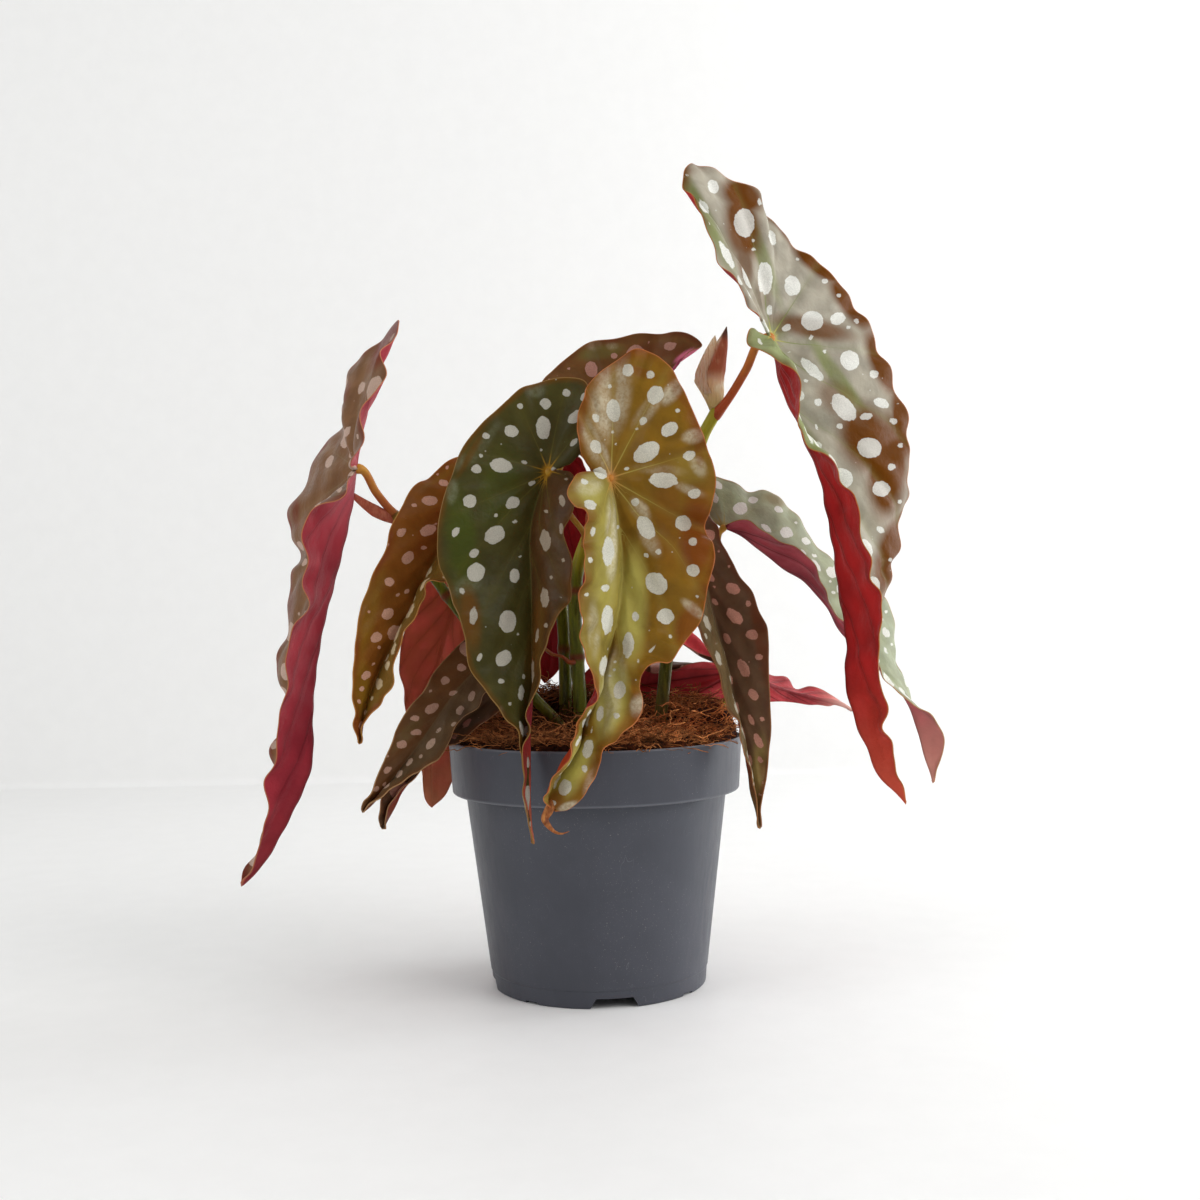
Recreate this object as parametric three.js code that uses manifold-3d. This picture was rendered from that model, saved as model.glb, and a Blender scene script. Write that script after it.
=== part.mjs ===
// A polka dot begonia in its nursery pot: thirteen wing-shaped leaves on four canes and a shoot.
// Millimetres, +Z up. The origin is on the floor, on the pot's axis. -Y faces the viewer.
import * as THREE from "three";
import { mergeVertices } from "three/addons/utils/BufferGeometryUtils.js";
import Module from "manifold-3d";

const wasm = await Module();
wasm.setup();

// ---- driving dimensions ----
const POT_HEIGHT = 100;
const RIM_RADIUS = 60;
const RIM_BAND = 21.5;
const BODY_TOP_RADIUS = 53.4;
const BASE_RADIUS = 43.6;
const WALL = 1.6;
const FOOT_HEIGHT = 5;
const FOOT_WIDTH = 4.4;
const RIDGE_HEIGHT = 7;
const RIDGE_STEP = 0.35;
const NOTCH = { count: 4, turn: 7.8, topWidth: 14.3, bottomWidth: 19, height: 4 };
const FOOT_GAP = { count: 4, turn: 52.8, width: 6, height: 1 };
const CLEARANCE = 0.3;
const COIR_LEVEL = 101.5;
const MOUNDS = [
  { x: 36, y: 31, rise: 10.5, spread: 19 },
  { x: -17, y: 27, rise: 15.5, spread: 17 },
];
const LEAF_THICKNESS = 0.8;
const LEAF_ARCH = 0.05;
const PETIOLE_RADIUS = 1.25;
const CANE_FOOT_Z = 80;
const POT_SIDES = 40;
const STEM_SIDES = 8;
const CANE_STEP = 14;
const PETIOLE_STEP = 7;

const GREEN_STEM = { color: 0x66772f, roughness: 0.55, metalness: 0 };
const POT_PLASTIC = { color: 0x575a63, roughness: 0.6, metalness: 0 };
const COIR = { color: 0x6b4128, roughness: 0.95, metalness: 0 };
const PAPERY = { color: 0xb98a72, roughness: 0.8, metalness: 0 };

// ---- leaves ----
// Each leaf is two halves that share the midrib. The large half's margin starts at the open slit
// beside the stalk, goes round the basal lobe, then down the flank to the tip. The small half's
// margin does the same on the other side. twist is 1 where the large half lies clockwise of the
// midrib as seen on the upper side, and -1 on its mirror image.
const LEAVES = [
  {
    name: "leaf_front_right",
    twist: 1,
    color: 0x7a6222,
    midrib: [[8, -48, 202], [12, -50, 171], [10, -53, 151], [5, -57, 134], [-1, -62, 118],
      [-8, -67, 102], [-15, -70, 90], [-17, -71, 83], [-15, -71, 80]],
    lobe: [[4, -50, 203], [0, -53, 206], [-3, -56, 211], [-4, -57, 222], [0, -54, 236],
      [8, -51, 244], [21, -50, 250], [31, -51, 243], [38, -53, 229], [44, -55, 213], [47, -57, 199]],
    flank: [[45, -55, 189], [43, -52, 183], [46, -60, 172], [43, -61, 160], [40, -58, 147],
      [35, -60, 141], [29, -66, 134], [20, -68, 131], [17, -65, 126], [18, -70, 118],
      [15, -76, 112], [9, -77, 107], [4, -76, 103], [2, -73, 97], [-1, -76, 91], [-4, -77, 86],
      [-10, -74, 81]],
    smallLobe: [[4, -50, 202], [0, -54, 204], [-3, -57, 204], [-8, -63, 196]],
    smallFlank: [[-5, -66, 190], [-1, -68, 185], [-3, -64, 177], [-2, -70, 171], [-4, -68, 159],
      [-4, -72, 149], [-3, -74, 137], [1, -80, 125], [0, -80, 119], [-7, -77, 111],
      [-7, -83, 106], [-9, -86, 101], [-14, -80, 94], [-18, -77, 87]],
  },
  {
    name: "leaf_front_left",
    twist: -1,
    color: 0x414c27,
    midrib: [[-16, -36, 206], [-20, -37, 196], [-23, -39, 183], [-23, -42, 164], [-23, -44, 147],
      [-23, -48, 132], [-23, -52, 119], [-24, -56, 108], [-24, -60, 94], [-24, -63, 79],
      [-23, -65, 67]],
    lobe: [[-11, -38, 207], [-7, -39, 209], [-4, -41, 211], [0, -42, 221], [1, -42, 232],
      [-1, -40, 240], [-8, -38, 242], [-16, -37, 241], [-24, -37, 239], [-34, -39, 231],
      [-42, -42, 223], [-48, -45, 215], [-52, -49, 204]],
    flank: [[-55, -52, 195], [-57, -55, 183], [-57, -52, 170], [-54, -53, 163], [-51, -58, 155],
      [-47, -60, 143], [-46, -58, 132], [-40, -62, 124], [-34, -66, 116], [-29, -66, 110],
      [-27, -64, 103], [-26, -66, 95], [-26, -67, 86], [-25, -67, 76]],
    smallLobe: [[-11, -38, 206], [-6, -42, 204], [-5, -48, 198]],
    smallFlank: [[-6, -51, 191], [-10, -52, 182], [-9, -54, 177], [-7, -56, 171], [-7, -57, 165],
      [-8, -58, 157], [-13, -58, 149], [-17, -60, 141], [-19, -61, 134], [-20, -63, 125],
      [-24, -64, 117], [-25, -64, 113], [-24, -66, 107], [-26, -68, 100], [-26, -70, 91],
      [-25, -69, 80]],
  },
  {
    name: "leaf_far_left",
    twist: -1,
    color: 0x6d5844,
    midrib: [[-94, -12, 211], [-96, -12, 200], [-99, -12, 186], [-105, -12, 163],
      [-109, -12, 148], [-113, -12, 125], [-114, -13, 113], [-115, -14, 91], [-121, -15, 76],
      [-129, -16, 61], [-138, -13, 49], [-145, -9, 43]],
    lobe: [[-93, -22, 211], [-92, -34, 211], [-87, -38, 220], [-87, -36, 231], [-82, -32, 240],
      [-79, -22, 258], [-76, -8, 271], [-91, 12, 263], [-104, 20, 253], [-103, 23, 239],
      [-116, 27, 223], [-123, 28, 209]],
    flank: [[-130, 28, 196], [-130, 27, 186], [-125, 24, 174], [-131, 24, 162], [-130, 21, 144],
      [-136, 19, 133], [-130, 14, 120], [-131, 12, 108], [-134, 7, 95], [-134, 0, 76],
      [-139, -5, 57]],
    smallLobe: [[-93, -22, 208], [-94, -33, 204], [-94, -38, 199]],
    smallFlank: [[-101, -42, 195], [-107, -44, 189], [-110, -44, 181], [-109, -43, 170],
      [-108, -42, 157], [-114, -42, 149], [-117, -40, 138], [-119, -37, 124], [-121, -35, 114],
      [-125, -33, 99], [-128, -30, 84], [-130, -27, 73], [-136, -19, 56]],
  },
  {
    name: "leaf_left_mid",
    twist: -1,
    color: 0x7b4f1f,
    midrib: [[-50, -18, 197], [-57, -20, 183], [-65, -23, 168], [-74, -27, 149], [-83, -31, 131],
      [-88, -34, 118], [-91, -36, 102]],
    lobe: [[-47, -17, 198], [-42, -14, 201], [-39, -12, 209], [-46, -13, 215], [-56, -17, 213],
      [-61, -19, 209], [-65, -21, 205]],
    flank: [[-70, -24, 202], [-74, -28, 194], [-78, -31, 186], [-80, -33, 177], [-84, -36, 169],
      [-87, -37, 161], [-90, -40, 150], [-91, -41, 140], [-92, -42, 129], [-92, -42, 118],
      [-92, -40, 109]],
    smallLobe: [[-47, -18, 196], [-42, -20, 195], [-40, -24, 188]],
    smallFlank: [[-44, -28, 180], [-49, -32, 172], [-54, -36, 166], [-58, -40, 164],
      [-63, -40, 163], [-65, -42, 157], [-68, -44, 149], [-72, -44, 146], [-73, -43, 141],
      [-76, -44, 133], [-77, -44, 123], [-83, -42, 117], [-88, -40, 110]],
  },
  {
    name: "leaf_low_left_upper",
    twist: -1,
    color: 0x4a3d30,
    midrib: [[-35, -26, 141], [-44, -29, 132], [-54, -34, 121], [-63, -39, 108], [-72, -44, 96],
      [-80, -48, 86], [-88, -51, 78]],
    lobe: [[-34, -25, 143], [-29, -22, 148], [-32, -20, 157], [-39, -21, 156], [-45, -24, 148]],
    flank: [[-51, -27, 141], [-57, -31, 135], [-62, -35, 129], [-65, -38, 123], [-71, -42, 116],
      [-74, -44, 111], [-77, -48, 103], [-82, -51, 91], [-85, -53, 84]],
    smallLobe: [[-33, -26, 141], [-29, -23, 137], [-29, -24, 131]],
    smallFlank: [[-35, -28, 125], [-43, -32, 120], [-45, -34, 115], [-50, -36, 112],
      [-53, -39, 109], [-55, -42, 104], [-60, -46, 96], [-65, -49, 94], [-72, -52, 89],
      [-78, -54, 86], [-84, -54, 81]],
  },
  {
    name: "leaf_low_left_under",
    twist: -1,
    color: 0x453829,
    midrib: [[-33, -15, 126], [-41, -19, 118], [-52, -26, 109], [-62, -34, 99], [-73, -39, 86],
      [-82, -42, 70]],
    lobe: [[-32, -14, 128], [-27, -14, 132], [-31, -14, 136], [-38, -16, 134]],
    flank: [[-45, -19, 127], [-52, -24, 121], [-58, -29, 114], [-66, -34, 106], [-72, -38, 97],
      [-78, -42, 88], [-82, -45, 80], [-83, -44, 75]],
    smallLobe: [[-31, -15, 125], [-27, -15, 121], [-30, -18, 116]],
    smallFlank: [[-37, -22, 113], [-43, -26, 109], [-47, -29, 106], [-51, -33, 103],
      [-57, -37, 100], [-61, -40, 96], [-67, -43, 92], [-70, -44, 88], [-75, -46, 85],
      [-78, -46, 79], [-80, -45, 74]],
  },
  {
    name: "leaf_back_left",
    twist: 1,
    color: 0x5a4a30,
    midrib: [[-52, 22, 174], [-59, 24, 157], [-66, 27, 136], [-71, 30, 114], [-72, 33, 92],
      [-72, 33, 67]],
    lobe: [[-49, 23, 173], [-43, 28, 178], [-45, 30, 187], [-55, 28, 190], [-65, 24, 181]],
    flank: [[-72, 20, 165], [-79, 19, 148], [-82, 20, 139], [-83, 21, 129], [-82, 23, 119],
      [-81, 25, 109], [-79, 27, 96], [-76, 30, 83], [-74, 32, 70]],
    smallLobe: [[-50, 23, 171], [-44, 27, 167], [-44, 30, 157]],
    smallFlank: [[-48, 36, 139], [-53, 42, 122], [-56, 42, 104], [-59, 40, 89], [-63, 37, 78],
      [-67, 35, 71]],
  },
  {
    name: "leaf_top_back",
    twist: -1,
    color: 0x5c4126,
    midrib: [[13, -5, 227], [14, -8, 205], [16, -12, 180], [16, -15, 156], [15, -17, 134]],
    lobe: [[19, -6, 233], [27, -9, 241], [34, -12, 249], [39, -18, 253], [46, -14, 258],
      [41, -10, 263], [31, -7, 264], [20, -7, 264], [11, -8, 262], [2, -9, 261], [-6, -11, 256],
      [-14, -13, 249], [-19, -15, 243], [-18, -16, 231], [-11, -14, 221]],
    flank: [[-1, -13, 211], [3, -14, 196], [4, -16, 178], [6, -18, 160], [9, -18, 144]],
    smallLobe: [[20, -7, 229], [27, -10, 229], [31, -13, 222]],
    smallFlank: [[31, -16, 207], [29, -18, 187], [26, -19, 167], [22, -19, 150],
      [18, -18, 138]],
  },
  {
    name: "leaf_top_right",
    twist: 1,
    color: 0x7a744e,
    midrib: [[73, -20, 259], [75, -20, 249], [77, -21, 240], [82, -23, 227], [87, -25, 214],
      [91, -27, 202], [93, -29, 191], [95, -31, 174], [96, -32, 163], [98, -33, 150],
      [99, -34, 137], [98, -35, 122], [101, -36, 110], [105, -37, 98], [111, -38, 85],
      [120, -39, 76]],
    lobe: [[71, -23, 260], [66, -34, 266], [60, -40, 272], [54, -42, 281], [47, -42, 294],
      [45, -40, 303], [42, -39, 308], [39, -34, 316], [39, -30, 323], [42, -25, 327],
      [48, -20, 328], [57, -14, 325], [70, -6, 321], [75, -3, 312], [85, 0, 301], [91, 2, 297],
      [100, 3, 291], [108, 4, 280]],
    flank: [[116, 4, 269], [120, 4, 259], [125, 5, 250], [127, 5, 241], [131, 4, 233],
      [132, 3, 220], [131, 1, 212], [131, 0, 198], [128, -3, 191], [126, -4, 185],
      [126, -4, 177], [122, -8, 166], [118, -10, 155], [114, -12, 144], [112, -16, 130],
      [112, -20, 114], [113, -26, 99], [116, -32, 85]],
    smallLobe: [[71, -22, 259], [67, -27, 260], [63, -31, 260], [63, -36, 254], [66, -40, 250],
      [72, -44, 246]],
    smallFlank: [[77, -47, 243], [80, -48, 237], [80, -49, 229], [79, -50, 220], [80, -52, 215],
      [87, -54, 209], [91, -55, 205], [93, -57, 199], [97, -58, 195], [99, -59, 188],
      [100, -59, 179], [103, -59, 169], [106, -58, 157], [107, -58, 148], [107, -57, 139],
      [106, -56, 132], [108, -54, 120], [110, -52, 111], [110, -50, 105], [112, -48, 97],
      [116, -43, 85]],
  },
  {
    name: "leaf_right_arch",
    twist: 1,
    color: 0x7c8468,
    midrib: [[55, 5, 185], [62, 6, 182], [69, 8, 177], [79, 11, 169], [90, 14, 162],
      [99, 17, 152], [104, 19, 143], [112, 21, 134], [119, 23, 127], [126, 25, 121],
      [131, 26, 116], [135, 27, 109], [139, 28, 99], [142, 29, 88], [146, 29, 74]],
    lobe: [[54, 6, 187], [48, 8, 189], [45, 14, 195], [46, 18, 204], [52, 22, 208],
      [60, 25, 206]],
    flank: [[67, 28, 202], [75, 31, 202], [83, 33, 198], [89, 35, 192], [95, 36, 183],
      [99, 37, 177], [105, 38, 172], [113, 39, 168], [121, 40, 163], [128, 41, 155],
      [131, 41, 150], [133, 41, 144], [132, 40, 135], [133, 39, 127], [136, 38, 118],
      [139, 37, 110], [143, 35, 101], [146, 33, 92], [147, 31, 82]],
    smallLobe: [[56, 4, 186], [58, -1, 187]],
    smallFlank: [[64, -6, 187], [69, -8, 184], [75, -8, 179], [83, -8, 176], [89, -6, 171],
      [93, -3, 165], [96, 0, 158], [98, 3, 152], [105, 5, 145], [112, 8, 136], [119, 12, 127],
      [125, 15, 118], [132, 17, 111], [138, 17, 108], [144, 18, 103], [149, 21, 94],
      [148, 25, 84]],
  },
  {
    name: "leaf_right_front",
    twist: 1,
    color: 0x4e3a2a,
    midrib: [[39, -20, 195], [43.5, -22, 171], [48.5, -25, 146], [52.5, -28, 130],
      [55, -32, 114], [58, -36, 99], [60, -39, 82], [63, -40, 67]],
    lobe: [[37, -19, 196], [36, -15, 200], [38, -12, 206], [42, -12, 208], [45, -14, 204],
      [47, -17, 193]],
    flank: [[51, -20, 181], [54, -22, 174], [58, -25, 165], [63, -28, 158], [65, -30, 151],
      [68, -33, 144], [68, -35, 135], [68, -35, 126], [68, -37, 116], [68, -38, 103],
      [67, -39, 97], [66, -40, 88], [64, -41, 79], [63, -41, 72]],
    smallLobe: [[37, -20, 194], [36, -23, 189], [35, -27, 177]],
    smallFlank: [[37, -33, 163], [41, -38, 145], [43, -40, 138], [48, -43, 127], [50, -45, 117],
      [53, -46, 110], [56, -46, 103], [57, -46, 96], [60, -45, 87], [61, -43, 76]],
  },
  {
    name: "leaf_back_right_low",
    twist: 1,
    color: 0x4c3a2c,
    midrib: [[64, 48, 123], [77, 58, 117], [90, 68, 112], [103, 76, 108], [115, 82, 105],
      [122, 85, 101]],
    lobe: [[61, 46, 124], [53, 42, 127], [47, 38, 128], [41, 36, 127], [34, 35, 124.5],
      [25, 35, 124], [17, 35, 126], [8, 35, 127], [0, 36, 127], [-5, 37, 123], [-3, 39, 118],
      [8, 41, 117], [20, 42, 116], [32, 43, 115], [42, 45, 113], [53, 48, 110]],
    flank: [[66, 55, 108], [80, 64, 109], [91, 71, 107], [101, 77, 105], [109, 81, 105],
      [117, 84, 104]],
    smallLobe: [[61, 49, 125], [53, 51, 129], [46, 54, 132], [40, 57, 136], [38, 62, 139],
      [44, 66, 140], [51, 70, 134], [61, 74, 129]],
    smallFlank: [[72, 78, 125], [82, 81, 120], [90, 83, 117], [95, 84, 113], [102, 86, 113],
      [112, 86, 109], [117, 86, 105]],
  },
  {
    name: "leaf_back_centre",
    twist: 1,
    color: 0x4a4028,
    midrib: [[-10, 15, 220], [-12, 22, 199], [-15, 28, 174], [-18, 33, 148], [-20, 36, 129],
      [-22, 38, 120]],
    lobe: [[-9, 15, 221], [-4, 14, 224], [-2, 12, 230], [-8, 10, 235], [-16, 10, 236],
      [-25, 12, 230], [-30, 15, 220]],
    flank: [[-32, 18, 208], [-34, 22, 191], [-33, 26, 174], [-32, 30, 157], [-30, 33, 141],
      [-27, 36, 127]],
    smallLobe: [[-8, 16, 218], [-4, 17, 216], [-2, 19, 213], [-1, 21, 205]],
    smallFlank: [[0, 24, 193], [-1, 28, 178], [-3, 31, 160], [-6, 34, 147], [-11, 37, 134],
      [-17, 38, 124]],
  },
];

// ---- stems ----
// A cane runs from its foot in the coir to its top. Each petiole leaves the cane at its first
// point and ends square under its leaf's attachment. A joint is a swollen node of the cane.
const STEMS = [
  {
    name: "cane_left",
    radius: 2.2,
    cane: [[-12, -4, 101], [-24, -6, 116], [-42, -8, 137], [-59, -8, 159], [-71, -7, 177],
      [-80, -5, 192]],
    joints: [[-42, -8, 137], [-59, -8, 159], [-80, -5, 192]],
    petioles: [
      { leaf: "leaf_far_left", route: [[-80, -5, 192], [-87, -8.5, 201.5]] },
      { leaf: "leaf_left_mid", route: [[-68, -7, 172], [-62, -7, 182]] },
      { leaf: "leaf_back_left", route: [[-59, -8, 159], [-57, 4, 163]] },
      { leaf: "leaf_low_left_upper", route: [[-39, -8, 134], [-35, -14, 138]] },
      { leaf: "leaf_low_left_under", route: [[-26, -6, 119], [-30, -8, 122]] },
    ],
    twigs: [{ radius: 1.4, route: [[-80, -6, 190], [-87, -6, 192.5], [-93, -7, 196.5], [-98, -7.5, 201]] }],
  },
  {
    name: "cane_centre_back",
    radius: 2.6,
    cane: [[-12, 6, 98], [-12, 5, 115], [-12, 4, 136], [-13, 5, 156], [-15, 7, 181],
      [-16, 9, 198]],
    joints: [[-12, 4, 136], [-15, 7, 181]],
    petioles: [{ leaf: "leaf_back_centre", route: [[-16, 9, 197], [-14, 9, 207]] }],
    twigs: [],
  },
  {
    name: "cane_centre_front",
    radius: 2.8,
    cane: [[-6, -2, 97], [-6, -2, 115], [-7, -4, 140], [-7, -6, 160], [-5, -6, 172],
      [0, -4, 185]],
    joints: [[-6.5, -3, 133], [-7, -6, 160], [0, -4, 185]],
    petioles: [
      { leaf: "leaf_front_left", route: [[-3, -5, 177], [-3, -14, 183], [-8, -22, 190]] },
      { leaf: "leaf_front_right", route: [[0, -4, 184], [-1, -14, 189], [4, -32, 198]] },
      { leaf: "leaf_top_back", route: [[0, -4, 184], [3, 5, 196], [8, 7, 213]] },
    ],
    twigs: [{ radius: 0.9, route: [[-7, -4, 132], [-9, -9, 133], [-18, -9, 136]] }],
  },
  {
    name: "cane_right",
    radius: 2.4,
    cane: [[26.5, 0, 93], [27, 1, 104], [28.5, 2, 117], [30.5, 3.5, 133], [34, 5, 155],
      [38, 6, 181], [42, 5, 205], [47, 2, 223], [52, 0, 232]],
    joints: [[30.5, 3.5, 133], [38, 6, 181], [52, 0, 231]],
    petioles: [
      { leaf: "leaf_top_right", route: [[52, 0, 231], [57, -3, 237], [64, -9, 248]] },
      { leaf: "leaf_right_arch", route: [[37, 6, 172], [45, 7, 172], [52, 8, 177]] },
      { leaf: "leaf_right_front", route: [[42, 5, 203], [42, -3, 200]] },
    ],
    twigs: [],
  },
  {
    name: "shoot_back_right",
    radius: 1.6,
    cane: [[44, 25, 100], [52, 30, 107], [60, 36, 113]],
    joints: [],
    petioles: [{ leaf: "leaf_back_right_low", route: [[58, 34.5, 111], [62, 40, 115]] }],
    twigs: [],
  },
];

// The papery sheath that wraps the newest shoot: centre, half width and half depth by height.
const SHEATH = [
  { at: [52.2, 1, 235.2], width: 2.8, depth: 2.4 },
  { at: [51.6, 1.5, 239], width: 4, depth: 2.8 },
  { at: [50.6, 2, 244.5], width: 5.9, depth: 3 },
  { at: [52.8, 2, 253], width: 4.7, depth: 2.6 },
  { at: [54.9, 2, 260], width: 3.3, depth: 2 },
  { at: [56.4, 2, 264], width: 1.9, depth: 1.2 },
];
const SHEATH_TIP = [58, 2, 267];
const SHEATH_SIDES = 10;

// ---- helpers ----
const vec = (p) => new THREE.Vector3(...p);

function solidOf(geometry) {
  const plain = geometry.index ? geometry.toNonIndexed() : geometry.clone();
  plain.deleteAttribute("normal");
  plain.deleteAttribute("uv");
  const merged = mergeVertices(plain, 1e-4);
  return new wasm.Manifold(new wasm.Mesh({
    numProp: 3,
    vertProperties: new Float32Array(merged.attributes.position.array),
    triVerts: new Uint32Array(merged.index.array),
  }));
}

function geometryOf(solid) {
  const mesh = solid.getMesh();
  const geometry = new THREE.BufferGeometry();
  geometry.setAttribute("position", new THREE.BufferAttribute(mesh.vertProperties, 3));
  geometry.setIndex(new THREE.BufferAttribute(mesh.triVerts, 1));
  geometry.computeVertexNormals();
  return geometry;
}

function named(name, geometry, look) {
  const mesh = new THREE.Mesh(geometry, new THREE.MeshStandardMaterial(look));
  mesh.name = name;
  return mesh;
}

const largest = (solid) => solid.decompose().sort((a, b) => b.volume() - a.volume())[0];

// Smooth curve through points that are unevenly spaced, with its total length.
class Spline {
  constructor(points) {
    this.points = points.map(vec);
    this.knots = [0];
    for (let i = 1; i < points.length; i += 1) {
      const step = this.points[i].distanceTo(this.points[i - 1]) ** 0.8;
      this.knots.push(this.knots[i - 1] + step);
    }
    this.slopes = this.points.map((_, i) => this.slope(i));
  }

  slope(i) {
    const rise = (k) => this.points[k + 1].clone().sub(this.points[k])
      .divideScalar(this.knots[k + 1] - this.knots[k]);
    const last = this.points.length - 1;
    if (i === 0) return rise(0);
    if (i === last) return rise(last - 1);
    const before = this.knots[i] - this.knots[i - 1];
    const after = this.knots[i + 1] - this.knots[i];
    return rise(i - 1).multiplyScalar(after).add(rise(i).multiplyScalar(before))
      .divideScalar(before + after);
  }

  at(knot) {
    const last = this.points.length - 2;
    let i = 0;
    while (i < last && knot >= this.knots[i + 1]) i += 1;
    const span = this.knots[i + 1] - this.knots[i];
    const x = Math.min(Math.max((knot - this.knots[i]) / span, 0), 1);
    const weights = [
      2 * x ** 3 - 3 * x ** 2 + 1,
      (x ** 3 - 2 * x ** 2 + x) * span,
      -2 * x ** 3 + 3 * x ** 2,
      (x ** 3 - x ** 2) * span,
    ];
    return new THREE.Vector3()
      .addScaledVector(this.points[i], weights[0])
      .addScaledVector(this.slopes[i], weights[1])
      .addScaledVector(this.points[i + 1], weights[2])
      .addScaledVector(this.slopes[i + 1], weights[3]);
  }

  // Knot values that split the stretch from knot a to knot b into equal lengths.
  evenKnots(a, b, count) {
    const fine = 300;
    const lengths = [0];
    let before = this.at(a);
    for (let i = 1; i <= fine; i += 1) {
      const point = this.at(a + ((b - a) * i) / fine);
      lengths.push(lengths[i - 1] + point.distanceTo(before));
      before = point;
    }
    return Array.from({ length: count }, (_, k) => {
      const want = (lengths[fine] * (k + 1)) / count;
      let i = 1;
      while (i < fine && lengths[i] < want) i += 1;
      const part = (want - lengths[i - 1]) / (lengths[i] - lengths[i - 1]);
      return a + ((b - a) * (i - 1 + part)) / fine;
    });
  }
}

// ---- leaf blades ----
// Rows of points from the midrib out to the margin, one row for each rib.
function bladeHalf(midrib, lobe, flank, turn, fanRows, bodyRows, columns) {
  const spine = new Spline(midrib);
  const margin = new Spline([...lobe, ...flank, midrib[midrib.length - 1]]);
  const lobeEnd = margin.knots[lobe.length - 1];
  const spineKnots = spine.evenKnots(0, spine.knots[midrib.length - 1], bodyRows);
  const bodyKnots = margin.evenKnots(lobeEnd, margin.knots[margin.knots.length - 1], bodyRows);
  const ribs = [];
  for (let i = 0; i <= fanRows; i += 1) {
    ribs.push([vec(midrib[0]), margin.at((lobeEnd * i) / fanRows)]);
  }
  for (let i = 0; i < bodyRows; i += 1) {
    ribs.push([spine.at(spineKnots[i]), margin.at(bodyKnots[i])]);
  }
  return ribs.map(([inner, outer], i) => {
    const before = ribs[Math.max(i - 1, 0)][1];
    const after = ribs[Math.min(i + 1, ribs.length - 1)][1];
    const rib = outer.clone().sub(inner);
    const up = after.clone().sub(before).cross(rib).multiplyScalar(turn);
    if (up.length() > 0) up.normalize();
    const arch = LEAF_ARCH * rib.length();
    return Array.from({ length: columns + 1 }, (_, j) => {
      const f = j / columns;
      return inner.clone().addScaledVector(rib, f).addScaledVector(up, arch * 4 * f * (1 - f));
    });
  });
}

// The blade's middle surface as shared points and triangles that face the upper side.
function bladeSheet(leaf) {
  const points = [];
  const triangles = [];
  const index = new Map();
  const idOf = (point) => {
    const key = point.toArray().map((v) => v.toFixed(3)).join(" ");
    if (!index.has(key)) index.set(key, points.push(point) - 1);
    return index.get(key);
  };
  const bodyRows = 18;
  const addHalf = (lobe, flank, turn, fanRows, columns) => {
    const rows = bladeHalf(leaf.midrib, lobe, flank, turn, fanRows, bodyRows, columns);
    const ids = rows.map((row) => row.map(idOf));
    for (let i = 0; i < rows.length - 1; i += 1) {
      for (let j = 0; j < columns; j += 1) {
        const corners = [ids[i][j], ids[i + 1][j], ids[i + 1][j + 1], ids[i][j + 1]];
        for (const [a, b, c] of [[0, 1, 2], [0, 2, 3]]) {
          const triangle = [corners[a], corners[b], corners[c]];
          if (new Set(triangle).size < 3) continue;
          triangles.push(turn > 0 ? triangle : triangle.reverse());
        }
      }
    }
  };
  addHalf(leaf.lobe, leaf.flank, leaf.twist, Math.max(4, leaf.lobe.length - 1), 3);
  addHalf(leaf.smallLobe, leaf.smallFlank, -leaf.twist, 3, 3);
  return { points, triangles };
}

function sheetNormals({ points, triangles }) {
  const normals = points.map(() => new THREE.Vector3());
  for (const [a, b, c] of triangles) {
    const face = points[b].clone().sub(points[a]).cross(points[c].clone().sub(points[a]));
    for (const id of [a, b, c]) normals[id].add(face);
  }
  return normals.map((normal) => normal.normalize());
}

// Thicken the sheet into a closed solid with triangles alike on both faces.
function bladeGeometry(leaf, thickness) {
  const sheet = bladeSheet(leaf);
  const normals = sheetNormals(sheet);
  const count = sheet.points.length;
  const positions = [];
  for (const side of [1, -1]) {
    sheet.points.forEach((point, i) => {
      positions.push(...point.clone().addScaledVector(normals[i], (side * thickness) / 2));
    });
  }
  const faces = [];
  const open = new Map();
  for (const [a, b, c] of sheet.triangles) {
    faces.push(a, b, c, c + count, b + count, a + count);
    for (const [from, to] of [[a, b], [b, c], [c, a]]) {
      if (!open.delete(`${to} ${from}`)) open.set(`${from} ${to}`, [from, to]);
    }
  }
  for (const [from, to] of open.values()) {
    faces.push(to, from, from + count, to, from + count, to + count);
  }
  const geometry = new THREE.BufferGeometry();
  geometry.setAttribute("position", new THREE.Float32BufferAttribute(positions, 3));
  geometry.setIndex(faces);
  geometry.computeVertexNormals();
  return geometry;
}

// Where a petiole meets its leaf: the attachment and the way out of the underside there.
function leafSeat(leafName) {
  const leaf = LEAVES.find((entry) => entry.name === leafName);
  const sheet = bladeSheet(leaf);
  const attachment = vec(leaf.midrib[0]);
  const id = sheet.points.findIndex((point) => point.distanceTo(attachment) < 1e-3);
  return { leaf, attachment, under: sheetNormals(sheet)[id].negate() };
}

// ---- stems ----
function tube(points, radius, stepLength) {
  const path = new THREE.CatmullRomCurve3(points, false, "centripetal");
  const section = new THREE.Shape();
  for (let i = 0; i < STEM_SIDES; i += 1) {
    const angle = (i / STEM_SIDES) * 2 * Math.PI;
    const [x, y] = [radius * Math.cos(angle), radius * Math.sin(angle)];
    if (i === 0) section.moveTo(x, y);
    else section.lineTo(x, y);
  }
  section.closePath();
  const steps = Math.max(3, Math.round(path.getLength() / stepLength));
  const options = { steps, bevelEnabled: false, extrudePath: path };
  return solidOf(new THREE.ExtrudeGeometry(section, options));
}

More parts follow.
